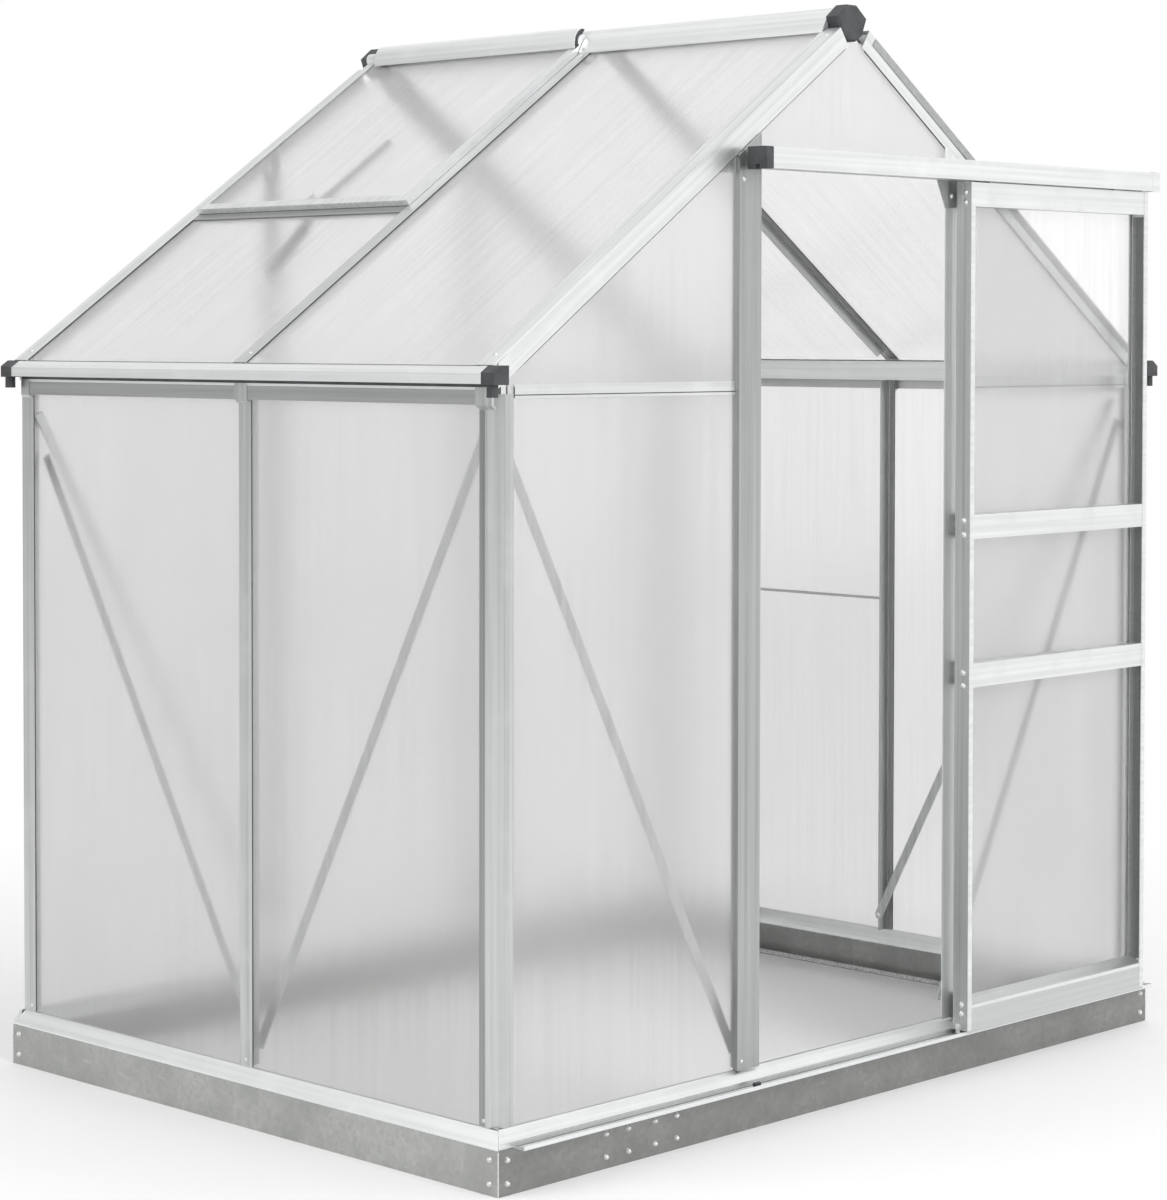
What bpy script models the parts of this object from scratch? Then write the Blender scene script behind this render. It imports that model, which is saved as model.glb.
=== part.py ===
"""Walk-in greenhouse of aluminium bars and twin-wall sheets on a galvanised base.

Metres, +Z up, the front gable with its sliding door towards -Y.
Levels count from the ground, plan positions from the middle of the whole outline.
"""
import math

import bmesh
import bpy
from mathutils import Matrix, Vector

# Base ring of folded galvanised channel
BASE_WIDTH = 1.900
BASE_DEPTH = 1.385
BASE_HEIGHT = 0.078
STEEL = 0.002
BASE_TOP_FLANGE = 0.045
BASE_FOOT_FLANGE = 0.030
BOLT_RADIUS = 0.006
BOLT_HEIGHT = 0.004
BASE_BOLT_INSET = 0.021
SPLICE_X = -0.600
SPLICE_COLUMNS = (-0.090, -0.034, 0.034, 0.090)

# Shared fits
GAP = 0.0003
WALL = 0.002
SHEET = 0.004

# Wall planes, measured inwards from the faces of the base
SIDE_INSET = 0.018
FRONT_INSET = 0.024
REAR_INSET = 0.010
SILL_TOP = 0.106
SILL_GROOVE = 0.012
SILL_FOOT = 0.040
BAR_WIDTH = 0.035
BAR_DEPTH = 0.032
BAR_WEB = 0.003
CORNER_LEG = 0.041
FRONT_CHAMFER = 0.021
REAR_CHAMFER = 0.004
MID_POST_OFFSET = -0.010

# Eaves
EAVES_HEIGHT = 1.388
BEAM_HEIGHT = 0.042
BEAM_PROUD = 0.008
GUTTER_REACH = 0.034
GUTTER_DROP = 0.025
GUTTER_INSET = 0.0248
CAP_LENGTH = 0.032
SPOUT_RADIUS = 0.010
SPOUT_LENGTH = 0.021
CAP_NOTCH = 0.0138
CAP_INSIDE = 0.001

# Roof
ROOF_TAN = 0.694
ROOF_REST = 0.00964
ROOF_OVERHANG = 0.0120
RAFTER_DEPTH = 0.030
FOOT_DEPTH = 0.0035
VERGE_WIDTH = 0.042
VERGE_DEPTH = 0.040
VERGE_PROUD = 0.004
VERGE_CUT = 0.006
RIDGE_RISE = 0.012
RIDGE_HALF = 0.054
RIDGE_CAP_LENGTH = 0.030

# Door and its tracks: the parked door fills the bay beside the doorway
DOOR_POST_WIDTH = 0.060
DOOR_POST_DEPTH = 0.024
DOOR_POST_PROUD = 0.009
DOOR_COVER = 0.029
DOOR_PARK = 0.019
DOOR_SIDE_MARGIN = 0.042
TRACK_RISE = 0.3575
TRACK_HEIGHT = 0.0385
TRACK_DEPTH = 0.060
TRACK_PAST_DOORWAY = 0.036
TRACK_STANDOFF = 0.014
DOOR_LIFT = 0.0095
DOOR_DROP = 0.0025
DOOR_BACK = 0.022
DOOR_DEPTH = 0.036
DOOR_RAIL = 0.047
UPPER_RAIL_Z = 1.073
LOWER_RAIL_Z = 0.783
ROLLER_RADIUS = 0.012
ROLLER_WIDTH = 0.008
ROLLER_INSET = 0.090
LEDGE_REACH = 0.052
LEDGE_LEFT = 0.034
LEDGE_RIGHT = 0.018

# Roof vent and its automatic opener
VENT_FRONT = 0.004
VENT_END_GAP = 0.0045
VENT_BOTTOM = 0.627
VENT_HINGE_S = 0.040
VENT_HINGE_RISE = 0.0145
VENT_BARREL = 0.0135
VENT_HEIGHT = 0.012
VENT_BAR = 0.020
OPENER_ARM = 0.235
OPENER_S = 0.585
OPENER_DEEP = 0.020
CYLINDER_RADIUS = 0.011
CYLINDER_LENGTH = 0.150

# Everything is worked out from the base and the eaves, then moved so that the outline is centred
HALF_X = BASE_WIDTH / 2
FRONT_FACE = -BASE_DEPTH / 2
REAR_FACE = BASE_DEPTH / 2
SIDE_PLANE = HALF_X - SIDE_INSET
FRONT_PLANE = FRONT_FACE + FRONT_INSET
REAR_PLANE = REAR_FACE - REAR_INSET
TRACK_FRONT = DOOR_POST_PROUD + GAP + TRACK_DEPTH
OUTLINE_FRONT = FRONT_PLANE - TRACK_FRONT
GUTTER_HALF = BASE_DEPTH / 2 - GUTTER_INSET
OUTLINE_REAR = GUTTER_HALF + GAP + CAP_LENGTH
MIDDLE_SHIFT = -(OUTLINE_FRONT + OUTLINE_REAR) / 2
GUTTER_FLOOR = EAVES_HEIGHT - GUTTER_DROP
ROOF_COS = 1 / math.hypot(1, ROOF_TAN)
ROOF_SIN = ROOF_TAN * ROOF_COS
RIDGE_LEVEL = EAVES_HEIGHT + ROOF_REST + ROOF_TAN * (SIDE_PLANE + BEAM_PROUD)
RIDGE_TOP = RIDGE_LEVEL + RIDGE_RISE
VENT_REAR = REAR_PLANE + VERGE_PROUD - VERGE_WIDTH + VERGE_CUT - VENT_END_GAP
ROOF_END = (SIDE_PLANE + ROOF_OVERHANG) / ROOF_COS
RAFTER_CUT = (SIDE_PLANE - 0.0185) / ROOF_COS
DOORWAY_HALF = (SIDE_PLANE - DOOR_SIDE_MARGIN - DOOR_PARK - 2 * DOOR_COVER) / 3
DOOR_WIDTH = 2 * (DOORWAY_HALF + DOOR_COVER)
DOOR_LEFT = DOORWAY_HALF + DOOR_PARK
TRACK_BOTTOM = EAVES_HEIGHT + TRACK_RISE
TRACK_LEFT = -DOORWAY_HALF - TRACK_PAST_DOORWAY
TRACK_RIGHT = DOOR_LEFT + DOOR_WIDTH
DOOR_BOTTOM = BASE_HEIGHT + DOOR_LIFT
DOOR_TOP = TRACK_BOTTOM - DOOR_DROP
SHEET_OUT = -WALL - GAP
SHEET_IN = SHEET_OUT - SHEET
POST_TOP = EAVES_HEIGHT - BEAM_HEIGHT - GAP
TIE_DEPTH = BAR_DEPTH + GAP

PALETTE = {
    "aluminium": ((0.78, 0.79, 0.79, 1), 0.34, 1.0),
    "galvanised_steel": ((0.42, 0.45, 0.45, 1), 0.52, 0.9),
    "twin_wall_sheet": ((0.86, 0.88, 0.88, 1), 0.30, 0.0),
    "dark_plastic": ((0.05, 0.055, 0.06, 1), 0.55, 0.0),
    "roller_plastic": ((0.75, 0.75, 0.72, 1), 0.45, 0.0),
}


# Helpers

def material(name):
    """Return the named finish, made once."""
    found = bpy.data.materials.get(name)
    if found:
        return found
    made = bpy.data.materials.new(name)
    made.use_nodes = True
    colour, roughness, metallic = PALETTE[name]
    shader = made.node_tree.nodes["Principled BSDF"]
    shader.inputs["Base Color"].default_value = colour
    shader.inputs["Roughness"].default_value = roughness
    shader.inputs["Metallic"].default_value = metallic
    return made


def add_object(name, bm, finish, parent=None):
    """Turn a bmesh in world places into an object, kept in place under its parent."""
    bmesh.ops.translate(bm, verts=bm.verts, vec=(0, MIDDLE_SHIFT, 0))
    bmesh.ops.recalc_face_normals(bm, faces=bm.faces)
    mesh = bpy.data.meshes.new(name)
    origin = Vector(parent.location) if parent else Vector((0, 0, 0))
    bmesh.ops.translate(bm, verts=bm.verts, vec=-origin)
    bm.to_mesh(mesh)
    bm.free()
    mesh.materials.append(material(finish))
    made = bpy.data.objects.new(name, mesh)
    bpy.context.collection.objects.link(made)
    if parent:
        made.parent = parent
    return made


def add_axis(name, x, y, z):
    """Place an empty on a joint's axis."""
    empty = bpy.data.objects.new(name, None)
    empty.location = (x, y + MIDDLE_SHIFT, z)
    bpy.context.collection.objects.link(empty)
    return empty


def add_rings(bm, rings):
    """Bridge rings of points into one closed skin with flat ends."""
    loops = [[bm.verts.new(point) for point in ring] for ring in rings]
    count = len(loops[0])
    for low, high in zip(loops, loops[1:]):
        for n in range(count):
            after = (n + 1) % count
            bm.faces.new((low[n], low[after], high[after], high[n]))
    bm.faces.new(loops[0])
    bm.faces.new(loops[-1])
    return bm


def swept(*rings):
    """Return a new bmesh holding one swept solid."""
    return add_rings(bmesh.new(), rings)


def box(x0, x1, y0, y1, z0, z1):
    """Return a rectangular block."""
    ring = [(x0, y0), (x1, y0), (x1, y1), (x0, y1)]
    return swept(*[[(x, y, z) for x, y in ring] for z in (z0, z1)])


def cylinder(start, end, radius, sides=12, end_radius=None):
    """Return a round bar, or a cone frustum, between two points."""
    start, end = Vector(start), Vector(end)
    along = (end - start).normalized()
    across = along.orthogonal().normalized()
    other = along.cross(across)
    rings = []
    for centre, size in ((start, radius), (end, end_radius or radius)):
        ring = []
        for n in range(sides):
            turn = 2 * math.pi * n / sides
            ring.append(centre + size * (math.cos(turn) * across + math.sin(turn) * other))
        rings.append(ring)
    return swept(*rings)


def bolt_head(centre, outward, radius=BOLT_RADIUS, height=BOLT_HEIGHT):
    """Return a domed head that reaches a little into the plate under it."""
    centre, outward = Vector(centre), Vector(outward)
    root = centre - outward * STEEL / 2
    crown = centre + outward * height
    return cylinder(root, crown, radius, 8, radius * 0.62)


def united(name, finish, solids, parent=None, cuts=()):
    """Join overlapping solids into one body, then take away the cuts."""
    base = add_object(name, solids[0], finish, parent)
    for mode, group in (("UNION", solids[1:]), ("DIFFERENCE", cuts)):
        for n, solid in enumerate(group):
            tool = add_object(f"{name}_{mode.lower()}_{n}", solid, finish)
            change = base.modifiers.new(mode, "BOOLEAN")
            change.operation = mode
            change.solver = "EXACT"
            change.object = tool
            bpy.context.view_layer.update()
            result = base.evaluated_get(bpy.context.evaluated_depsgraph_get())
            mesh = bpy.data.meshes.new_from_object(result)
            base.modifiers.clear()
            base.data = mesh
            bpy.data.objects.remove(tool, do_unlink=True)
    return base


def side_point(side, out, y, z):
    """Point on a side wall: side is -1 on the left, out is the distance outwards."""
    return (side * (SIDE_PLANE + out), y, z)


def gable_point(end, x, out, z):
    """Point on a gable: end is -1 at the front, out is the distance outwards."""
    plane = FRONT_PLANE if end < 0 else REAR_PLANE
    return (x, plane + end * out, z)


def roof_level(x):
    """Height of the roof's outer plane."""
    return RIDGE_LEVEL - ROOF_TAN * abs(x)


def slope_point(side, along, deep, y):
    """Point on a slope: along from the ridge, deep below the outer plane."""
    x = along * ROOF_COS - deep * ROOF_SIN
    z = RIDGE_LEVEL - along * ROOF_SIN - deep * ROOF_COS
    return (side * x, y, z)


# Base

def base_outline():
    """Channel seen from its end: distance in from the face, and height."""
    return [
        (0, 0), (BASE_FOOT_FLANGE, 0), (BASE_FOOT_FLANGE, STEEL), (STEEL, STEEL),
        (STEEL, BASE_HEIGHT - STEEL), (BASE_TOP_FLANGE, BASE_HEIGHT - STEEL),
        (BASE_TOP_FLANGE, BASE_HEIGHT), (0, BASE_HEIGHT),
    ]


def base_bolt_levels():
    """Heights of the two bolts in each pair."""
    return BASE_HEIGHT * 0.26, BASE_HEIGHT * 0.78


def base_side(name, side):
    """Side channel, mitred, with the tabs that it bolts to its neighbours with."""
    rings = []
    for end in (-1, 1):
        face = FRONT_FACE if end < 0 else REAR_FACE
        rings.append([(side * (HALF_X - d), face - end * (d + GAP), z) for d, z in base_outline()])
    solids = [swept(*rings)]
    for end in (-1, 1):
        face = FRONT_FACE if end < 0 else REAR_FACE
        near = side * (HALF_X - STEEL * 0.75)
        far = side * (HALF_X - BASE_TOP_FLANGE)
        tab = (face - end * (STEEL + GAP), face - end * (2 * STEEL + GAP))
        solids.append(box(min(near, far), max(near, far), min(tab), max(tab),
                          2 * STEEL, BASE_HEIGHT - 2 * STEEL))
        for z in base_bolt_levels():
            spot = (side * HALF_X, face - end * BASE_BOLT_INSET, z)
            solids.append(bolt_head(spot, (side, 0, 0)))
    united(name, "galvanised_steel", solids)


def base_end(name, end):
    """Front or rear channel with its corner bolts, and the splice bolts in front."""
    face = FRONT_FACE if end < 0 else REAR_FACE
    rings = []
    for side in (-1, 1):
        rings.append([(side * (HALF_X - d - GAP), face - end * d, z) for d, z in base_outline()])
    solids = [swept(*rings)]
    places = [side * (HALF_X - BASE_BOLT_INSET) for side in (-1, 1)]
    joint = -end * SPLICE_X
    places += [joint + offset for offset in SPLICE_COLUMNS]
    plate = face - end * STEEL / 2, face - end * 2 * STEEL
    reach = SPLICE_COLUMNS[-1] + 2 * BOLT_RADIUS
    solids.append(box(joint - reach, joint + reach, min(plate), max(plate),
                      2 * STEEL, BASE_HEIGHT - 2 * STEEL))
    for x in places:
        for z in base_bolt_levels():
            solids.append(bolt_head((x, face, z), (0, end, 0)))
    united(name, "galvanised_steel", solids)


# Sills

def sill_outline(reach):
    """Sill seen from its end: distance out from the wall's face, and height."""
    foot = BASE_HEIGHT + GAP
    inner = SHEET_IN - GAP
    return [
        (reach, foot), (reach, foot + 0.003), (0, SILL_TOP), (-WALL, SILL_TOP),
        (-WALL, SILL_TOP - SILL_GROOVE), (inner, SILL_TOP - SILL_GROOVE), (inner, SILL_TOP),
        (inner - WALL, SILL_TOP), (inner - WALL, foot + WALL), (-SILL_FOOT, foot + WALL),
        (-SILL_FOOT, foot), (inner, foot), (inner, SILL_TOP - SILL_GROOVE - WALL),
        (reach * 0.30, SILL_TOP - SILL_GROOVE - WALL), (reach - WALL, foot),
    ]


def mitre_y(side_in, end):
    """Where a side piece stops at a corner, so far in from the base's side."""
    face = FRONT_FACE if end < 0 else REAR_FACE
    return face - end * (side_in + GAP)


def side_sill(name, side):
    """Sill along a side wall, mitred at both corners."""
    rings = []
    for end in (-1, 1):
        ring = []
        for out, z in sill_outline(SIDE_INSET - 0.0005):
            ring.append(side_point(side, out, mitre_y(SIDE_INSET - out, end), z))
        rings.append(ring)
    add_object(name, swept(*rings), "aluminium")


def door_sill_outline(with_ledge):
    """Front sill, with the groove and lip that guide the door's foot."""
    foot = BASE_HEIGHT + GAP
    inner = SHEET_IN - GAP
    wall = DOOR_BACK - WALL
    lip = LEDGE_REACH if with_ledge else wall + 0.0012
    crest = foot + 0.0072 if with_ledge else foot + WALL + 0.0006
    return [
        (lip, foot), (lip, crest), (lip - 0.0010, crest), (lip - 0.0010, foot + WALL),
        (wall, foot + WALL), (wall, BASE_HEIGHT + 0.010), (0, SILL_TOP), (-WALL, SILL_TOP),
        (-WALL, SILL_TOP - SILL_GROOVE), (inner, SILL_TOP - SILL_GROOVE), (inner, SILL_TOP),
        (inner - WALL, SILL_TOP), (inner - WALL, foot + WALL), (-SILL_FOOT, foot + WALL),
        (-SILL_FOOT, foot), (inner, foot), (inner, SILL_TOP - SILL_GROOVE - WALL),
        (wall * 0.4, SILL_TOP - SILL_GROOVE - WALL), (wall - WALL, BASE_HEIGHT + 0.0065), (wall - WALL, foot),
    ]


def door_sill():
    """Front sill: the ledge stops short of both corners."""
    def ring(side, x, with_ledge):
        points = []
        for out, z in door_sill_outline(with_ledge):
            place = side * (HALF_X - (FRONT_INSET - out) - GAP) if x is None else x
            points.append(gable_point(-1, place, out, z))
        return points
    left = -HALF_X + LEDGE_LEFT
    right = HALF_X - LEDGE_RIGHT
    step = 0.0002
    add_object("door_sill", swept(
        ring(-1, None, False), ring(-1, left, False), ring(-1, left + step, True),
        ring(1, right - step, True), ring(1, right, False), ring(1, None, False)), "aluminium")


# Posts

def corner_outline(chamfer):
    """Corner post in plan, from its outer corner inwards along both walls."""
    fin = 0.026
    tip = fin - WALL
    inside = max(chamfer + 0.0008, WALL)
    leg = CORNER_LEG
    return [
        (leg, 0), (leg, WALL), (fin + WALL, WALL), (fin + WALL, tip), (fin, tip), (fin, WALL),
        (inside, WALL), (WALL, inside), (WALL, fin), (tip, fin), (tip, fin + WALL),
        (WALL, fin + WALL), (WALL, leg), (0, leg), (0, chamfer), (chamfer, 0),
    ]


CORNER_SHEET_EDGE = 0.026 + WALL + GAP


def corner_post(name, side, end):
    """Corner post, chamfered along its outer edge."""
    chamfer = FRONT_CHAMFER if end < 0 else REAR_CHAMFER
    plane = FRONT_PLANE if end < 0 else REAR_PLANE
    rings = []
    for z in (SILL_TOP + GAP, POST_TOP):
        rings.append([(side * (SIDE_PLANE - u), plane - end * v, z) for u, v in corner_outline(chamfer)])
    add_object(name, swept(*rings), "aluminium")


def bar_outline():
    """Glazing bar in plan: across the wall, and out from its face."""
    half = BAR_WIDTH / 2
    web = BAR_WEB / 2
    return [
        (-half, 0), (half, 0), (half, -WALL), (web, -WALL), (web, -BAR_DEPTH),
        (-web, -BAR_DEPTH), (-web, -WALL), (-half, -WALL),
    ]


def side_post(name, side):
    """Post between the two bays of a side wall."""
    rings = []
    for z in (SILL_TOP + GAP, POST_TOP):
        rings.append([side_point(side, out, MID_POST_OFFSET + y, z) for y, out in bar_outline()])
    add_object(name, swept(*rings), "aluminium")


def door_post_outline():
    """Door post in plan: from its outer edge towards the doorway, and out from the wall's face."""
    wide = DOOR_POST_WIDTH
    front = DOOR_POST_PROUD
    web = 0.016
    return [
        (0, front), (wide, front), (wide, front - WALL), (web + WALL, front - WALL),
        (web + WALL, -DOOR_POST_DEPTH), (web, -DOOR_POST_DEPTH), (web, front - WALL),
        (WALL, front - WALL), (WALL, -WALL), (0, -WALL),
    ]


DOOR_POST_SHEET_EDGE = 0.016 - GAP
GABLE_CLEAR = 0.012


def door_post(name, side):
    """Door post, its head cut parallel to the roof under the verge."""
    outer = DOORWAY_HALF + DOOR_POST_WIDTH
    foot, head = [], []
    for across, out in door_post_outline():
        x = side * (outer - across)
        foot.append(gable_point(-1, x, out, SILL_TOP + GAP))
        head.append(gable_point(-1, x, out, roof_level(x) - VERGE_DEPTH / ROOF_COS - 2 * GAP))
    add_object(name, swept(foot, head), "aluminium")


# Rear gable frame

REAR_POST_X = DOORWAY_HALF + 0.0205
GABLE_BAR_Z = EAVES_HEIGHT - 0.038
GABLE_BAR_HEIGHT = 0.025
BRACE_WIDTH = 0.020
BRACE_THICK = 0.002


def strap(start, end, along_x, depth0, depth1, width=BRACE_WIDTH):
    """Flat strap between two points of a wall, as a ring at each of two depths."""
    (a0, z0), (a1, z1) = start, end
    length = math.hypot(a1 - a0, z1 - z0)
    px, pz = -(z1 - z0) / length * width / 2, (a1 - a0) / length * width / 2
    corners = [(a0 + px, z0 + pz), (a1 + px, z1 + pz), (a1 - px, z1 - pz), (a0 - px, z0 - pz)]
    rings = []
    for depth in (depth0, depth1):
        if along_x:
            rings.append([(a, depth, z) for a, z in corners])
        else:
            rings.append([(depth, a, z) for a, z in corners])
    return swept(*rings)


def rear_gable_frame():
    """Rear sill, two posts, tie bar and braces: a cover strip outside the sheet, webs inside."""
    rings = []
    for side in (-1, 1):
        ring = []
        for out, z in sill_outline(REAR_INSET - 0.0005):
            ring.append(gable_point(1, side * (HALF_X - (REAR_INSET - out) - GAP), out, z))
        rings.append(ring)
    solids = [swept(*rings)]
    inner = SHEET_IN - GAP
    web_front = REAR_PLANE - BAR_DEPTH
    for side in (-1, 1):
        x = side * REAR_POST_X
        half = BAR_WIDTH / 2
        top = roof_level(abs(x) + half) - VERGE_DEPTH / ROOF_COS - GAP
        high = roof_level(abs(x) + BAR_WEB) - GABLE_CLEAR / ROOF_COS - GAP
        solids.append(box(x - half, x + half, REAR_PLANE - WALL, REAR_PLANE, SILL_TOP - 0.004, top))
        solids.append(box(x - BAR_WEB / 2, x + BAR_WEB / 2, web_front, REAR_PLANE + inner,
                          SILL_TOP - 0.006, high))
        foot = (side * REAR_POST_X, SILL_TOP + 0.030)
        head = (side * (SIDE_PLANE - CORNER_LEG / 2), GABLE_BAR_Z - 0.060)
        solids.append(strap(foot, head, True, web_front + 0.0010, web_front - BRACE_THICK))
    low, high = GABLE_BAR_Z - GABLE_BAR_HEIGHT / 2, GABLE_BAR_Z + GABLE_BAR_HEIGHT / 2
    reach = SIDE_PLANE - CORNER_LEG - GAP
    solids.append(box(-reach, reach, REAR_PLANE - WALL, REAR_PLANE, low, high))
    solids.append(box(-reach, reach, REAR_PLANE + inner - 0.010, REAR_PLANE + inner, low, high))
    united("rear_gable_frame", "aluminium", solids)


# Eaves

def gutter_outline():
    """Eaves beam and gutter in one extrusion: out from the wall's face, and height."""
    skin = 0.0015
    out = GUTTER_REACH
    floor = GUTTER_FLOOR
    beam_in = -0.014
    beam_out = BEAM_PROUD
    flange = 0.036
    beam_foot = EAVES_HEIGHT - BEAM_HEIGHT
    return [
        (out, floor), (out, floor + 0.018), (out - 0.017, floor + 0.0297),
        (out - 0.018, floor + 0.0283), (out - skin, floor + 0.0170), (out - skin, floor + skin),
        (beam_out, floor + skin), (beam_out, EAVES_HEIGHT), (beam_in, EAVES_HEIGHT),
        (beam_in, beam_foot), (beam_in + WALL, beam_foot), (beam_in + WALL, EAVES_HEIGHT - WALL),
        (beam_out - WALL, EAVES_HEIGHT - WALL), (beam_out - WALL, floor - flange),
        (beam_out, floor - flange), (beam_out, floor),
    ]


def gutter(name, side):
    """Eaves gutter along one side."""
    rings = []
    for y in (-GUTTER_HALF, GUTTER_HALF):
        rings.append([side_point(side, out, y, z) for out, z in gutter_outline()])
    add_object(name, swept(*rings), "aluminium")


def gutter_cap(name, side, end):
    """Plastic end cap with its down spout, notched under the verge's foot."""
    inner, outer = 0.0125, GUTTER_REACH + 0.0015
    floor = GUTTER_FLOOR - 0.0015
    crest = floor + 0.0325

    def outline(near, top):
        return [(near, floor), (outer, floor), (outer, floor + 0.021), (outer - 0.017, crest),
                (CAP_NOTCH + 0.0005, crest), (CAP_NOTCH, top), (near, top)]
    start = end * (GUTTER_HALF + GAP)
    plane = FRONT_PLANE if end < 0 else REAR_PLANE
    notch_end = plane + end * (VERGE_PROUD + GAP)
    rings = []
    low = floor + 0.0165
    for y, near, top in ((start, inner, low), (notch_end, inner, low), (notch_end + end * 0.0002, CAP_INSIDE, crest),
                         (start + end * CAP_LENGTH, CAP_INSIDE, crest)):
        rings.append([side_point(side, out, y, z) for out, z in outline(near, top)])
    middle = start + end * CAP_LENGTH / 2
    x = side * (SIDE_PLANE + (inner + outer) / 2)
    spout = cylinder((x, middle, floor + 0.003), (x, middle, floor - SPOUT_LENGTH), SPOUT_RADIUS, 12)
    united(name, "dark_plastic", [swept(*rings), spout])


# Gable bars and braces

def gable_bar(name, side):
    """Glazing bar across a front bay, between the corner post and the door post."""
    low, high = GABLE_BAR_Z - GABLE_BAR_HEIGHT / 2, GABLE_BAR_Z + GABLE_BAR_HEIGHT / 2
    far = SIDE_PLANE - CORNER_LEG - GAP
    near = DOORWAY_HALF + DOOR_POST_WIDTH + GAP
    ends = sorted((side * near, side * far))
    add_object(name, box(ends[0], ends[1], FRONT_PLANE, FRONT_PLANE + WALL, low, high), "aluminium")


def side_braces(name, side):
    """Flat braces from the foot of the side post: two on the left wall, only the front one on the right."""
    depth = side * (SIDE_PLANE - TIE_DEPTH), side * (SIDE_PLANE - TIE_DEPTH - BRACE_THICK)
    foot = (MID_POST_OFFSET, SILL_TOP + 0.032)
    front_head = (FRONT_PLANE + 0.040, EAVES_HEIGHT - 0.073)
    rear_head = (REAR_PLANE - 0.040, EAVES_HEIGHT - 0.183)
    solids = [strap(foot, front_head, False, *depth)]
    if side < 0:
        solids.append(strap(foot, rear_head, False, *depth))
    united(name, "aluminium", solids)


def gable_brace(name, side):
    """Flat brace in a front bay, from the door post's foot to the corner post's head."""
    seat = FRONT_PLANE + DOOR_POST_DEPTH + GAP
    depth = seat, seat + BRACE_THICK
    foot = (side * (DOORWAY_HALF + DOOR_POST_WIDTH * 0.62), SILL_TOP + 0.030)
    head = (side * (SIDE_PLANE - 0.034), EAVES_HEIGHT - 0.118)
    add_object(name, strap(foot, head, True, *depth), "aluminium")


# Roof bars

def rafter_pair(name, outline_at):
    """Two rafters meeting under the ridge: outline_at gives the section for a named place."""
    stations = (("foot", ROOF_END), ("foot", RAFTER_CUT), ("full", RAFTER_CUT - 0.012), ("full", 0.0520), ("short", 0.0515),
                ("apex", 0.0510))
    left = [[slope_point(-1, along, deep, y) for y, deep in outline_at(kind)] for kind, along in stations]
    right = [[(-x, y, z) for x, y, z in ring] for ring in reversed(left)]
    crown = [(0, y, RIDGE_LEVEL - deep / ROOF_COS) for y, deep in outline_at("apex")]
    add_object(name, swept(*left, crown, *right), "aluminium")


def middle_rafter_outline(kind):
    """Glazing bar of the roof: trimmed where it rests on the eaves beam."""
    half = BAR_WIDTH / 2
    web = BAR_WEB / 2
    deep = FOOT_DEPTH if kind == "foot" else RAFTER_DEPTH
    outline = [(-half, 0), (half, 0), (half, WALL), (web, WALL), (web, deep), (-web, deep),
               (-web, WALL), (-half, WALL)]
    return [(MID_POST_OFFSET + y, d) for y, d in outline]


def verge_outline(end):
    """Verge angle over a gable: cut back at the apex round the ridge's end cap."""
    plane = FRONT_PLANE if end < 0 else REAR_PLANE
    outer = plane + end * VERGE_PROUD
    inner = outer - end * VERGE_WIDTH
    cut = outer - end * (VERGE_WIDTH - VERGE_CUT)

    def outline(kind):
        edge = cut if kind == "apex" else outer
        deep = {"foot": FOOT_DEPTH, "full": VERGE_DEPTH, "short": 0.010, "apex": 0.010}[kind]
        return [(edge, 0), (inner, 0), (inner, WALL), (edge - end * WALL, WALL),
                (edge - end * WALL, deep), (edge, deep)]
    return outline


def verge_cut(end):
    """Y of the verge's inner part at the apex."""
    plane = FRONT_PLANE if end < 0 else REAR_PLANE
    return plane + end * (VERGE_PROUD - VERGE_WIDTH + VERGE_CUT)


def ridge_outline(open_left):
    """Ridge capping: its left skirt is short where the vent is hinged."""
    def skirt(side, short):
        lip = 0.0265 if short else RIDGE_HALF
        knee = (0.0235, RIDGE_LEVEL - 0.0020) if short else (0.0400, RIDGE_LEVEL - 0.0090)
        outer = [(side * lip, roof_level(lip) + GAP), (side * lip, roof_level(lip) + 0.0042),
                 (side * knee[0], knee[1]), (side * 0.0140, RIDGE_TOP)]
        inner = [(side * (lip - WALL), roof_level(lip - WALL) + GAP),
                 (side * (knee[0] - 0.0016), knee[1] - 0.0018),
                 (side * 0.0132, RIDGE_TOP - WALL)]
        return outer, inner
    left_outer, left_inner = skirt(-1, open_left)
    right_outer, right_inner = skirt(1, False)
    return left_outer + right_outer[::-1] + right_inner + left_inner[::-1]


def ridge():
    """Ridge capping over both slopes."""
    start, end = verge_cut(-1) - 2 * GAP / 3, verge_cut(1) + 2 * GAP / 3
    turn = VENT_FRONT - 0.0012
    rings = []
    for y, short in ((start, False), (turn - 0.0002, False), (turn, True), (end, True)):
        rings.append([(x, y, z) for x, z in ridge_outline(short)])
    add_object("ridge", swept(*rings), "aluminium")


def ridge_cap(name, end):
    """Faceted plastic cap on one end of the ridge."""
    half = [(0.0140, RIDGE_LEVEL + 0.0165), (0.0435, RIDGE_LEVEL - 0.0070),
            (0.0300, RIDGE_LEVEL - 0.0400), (0.0110, RIDGE_LEVEL - 0.0520)]
    outline = half + [(-x, z) for x, z in reversed(half)]
    start = verge_cut(end) + end * GAP * 2
    rings = []
    for y, size in ((start, 1), (start + end * (RIDGE_CAP_LENGTH - 0.004), 1), (start + end * RIDGE_CAP_LENGTH, 0.9)):
        middle = RIDGE_LEVEL - 0.016
        rings.append([(x * size, y, middle + (z - middle) * size) for x, z in outline])
    add_object(name, swept(*rings), "dark_plastic")


# Sheets

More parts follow.
